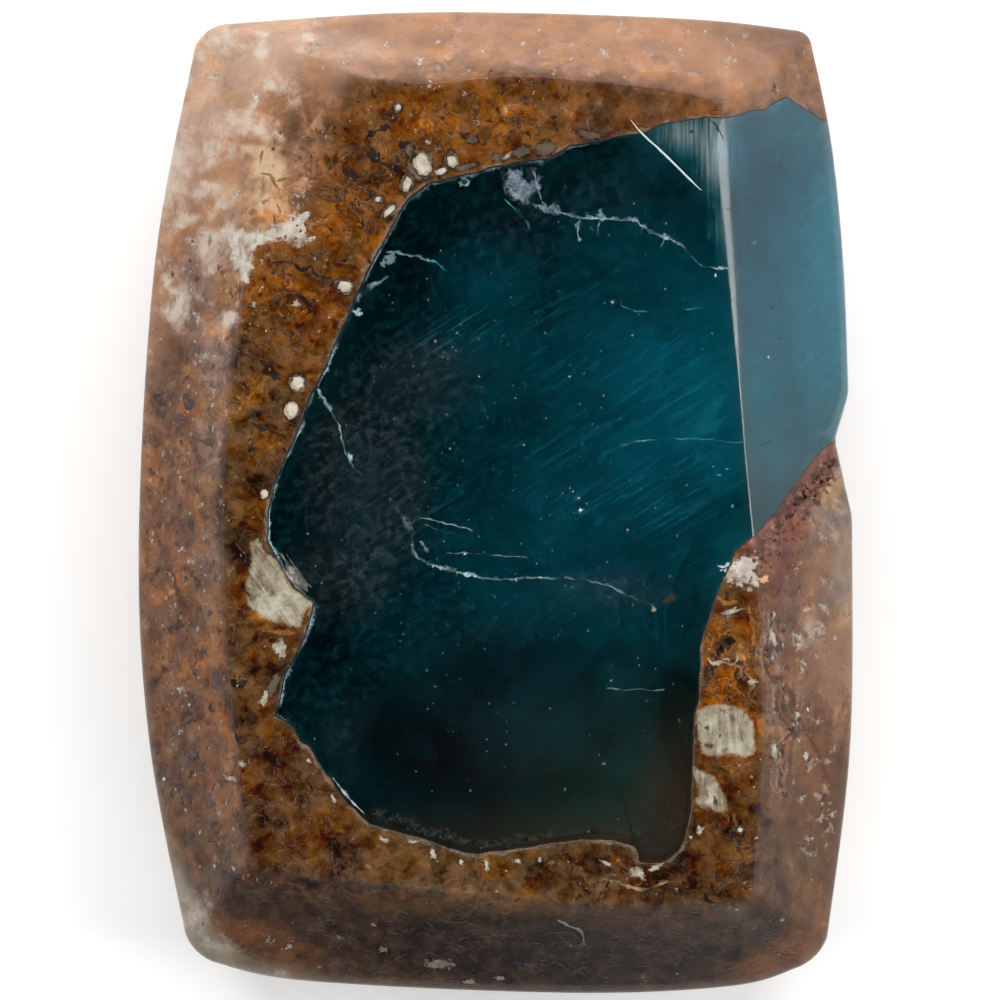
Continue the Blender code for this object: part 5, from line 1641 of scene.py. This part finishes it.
floor_reach = 1.5
floor_corners = [(-floor_reach, -floor_reach, 0), (floor_reach, -floor_reach, 0),
                 (floor_reach, floor_reach, 0), (-floor_reach, floor_reach, 0)]
floor_mesh = bpy.data.meshes.new("studio_floor")
floor_mesh.from_pydata(floor_corners, [], [(0, 1, 2, 3)])
floor = bpy.data.objects.new("studio_floor", floor_mesh)
bpy.context.collection.objects.link(floor)
pale_floor = Finish("pale_floor")
tooth = pale_floor.grain(pale_floor.place(), 1.5, 3.0)
pale_floor.surface(Base_Color=pale_floor.blend(tooth, (0.885, 0.885, 0.88, 1.0), (0.90, 0.90, 0.895, 1.0)),
                   Roughness=0.9)
floor.data.materials.append(pale_floor.material)
floor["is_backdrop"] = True


def softbox(name, azimuth, elevation, width, height, power):
    """A soft studio lamp that faces the stone from a metre away."""
    lamp = bpy.data.lights.new(name, 'AREA')
    lamp.shape = 'RECTANGLE'
    lamp.size = width
    lamp.size_y = height
    lamp.energy = power
    holder = bpy.data.objects.new(name, lamp)
    turn, rise = math.radians(azimuth), math.radians(elevation)
    back = Vector((math.sin(turn) * math.cos(rise), math.cos(turn) * math.cos(rise), math.sin(rise)))
    holder.location = back
    holder.rotation_euler = back.to_track_quat('Z', 'Y').to_euler()
    bpy.context.collection.objects.link(holder)


softbox("top_softbox", 0, 38, 1.3, 0.55, 15.3)
softbox("right_softbox", 90, 44, 0.34, 0.85, 6.3)
softbox("left_softbox", -90, 40, 0.5, 0.5, 5)
softbox("front_softbox", 180, 42, 1.2, 0.4, 3.7)

# The room is dark overhead and pale towards the horizon, palest behind the stone's top edge

world = bpy.data.worlds.new("studio")
world.use_nodes = True
bpy.context.scene.world = world
sky = world.node_tree
towards = sky.nodes.new("ShaderNodeTexCoord").outputs["Generated"]
split = sky.nodes.new("ShaderNodeSeparateXYZ")
sky.links.new(towards, split.inputs[0])


def sky_step(value, low, high, bottom, top):
    """A soft step of the sky's brightness."""
    made = sky.nodes.new("ShaderNodeMapRange")
    made.interpolation_type = 'SMOOTHSTEP'
    sky.links.new(value, made.inputs[0])
    for index, number in enumerate((low, high, bottom, top), 1):
        made.inputs[index].default_value = number
    return made.outputs[0]


def sky_sum(operation, first, second):
    """One step of arithmetic on the sky's brightness."""
    made = sky.nodes.new("ShaderNodeMath")
    made.operation = operation
    for index, value in enumerate((first, second)):
        if isinstance(value, bpy.types.NodeSocket):
            sky.links.new(value, made.inputs[index])
        else:
            made.inputs[index].default_value = value
    return made.outputs[0]


overhead = sky_step(split.outputs["Z"], 0.10, 0.55, 1.0, 0.02)
to_top = sky_step(split.outputs["Y"], 0.0, 0.9, 0.0, 1.7)
to_right = sky_step(split.outputs["X"], 0.2, 0.95, 0.0, 0.85)
to_left = sky_sum('MULTIPLY', sky_step(split.outputs["X"], -0.95, -0.2, 0.5, 0.0), sky_step(split.outputs["Y"], -0.5, 0.3, 0.3, 1.0))
horizon = sky_sum('ADD', sky_sum('ADD', to_top, to_right), sky_sum('ADD', to_left, 0.08))
sky.links.new(sky_sum('MULTIPLY', horizon, overhead), sky.nodes["Background"].inputs["Strength"])
sky.nodes["Background"].inputs["Color"].default_value = (1.0, 0.99, 0.975, 1.0)

# The camera looks straight down on the table from a third of a metre.

camera_height = 0.35
frame_width = 18.311 * MM
camera_data = bpy.data.cameras.new("camera")
camera_data.sensor_width = 36
camera_data.lens = 36 * (camera_height - 5.4 * MM) / frame_width
camera_data.clip_start = 0.01
camera = bpy.data.objects.new("camera", camera_data)
camera.location = (0.082 * MM, 0.046 * MM, camera_height)
bpy.context.collection.objects.link(camera)
bpy.context.scene.camera = camera
bpy.context.scene.view_settings.view_transform = 'Standard'

low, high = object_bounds()
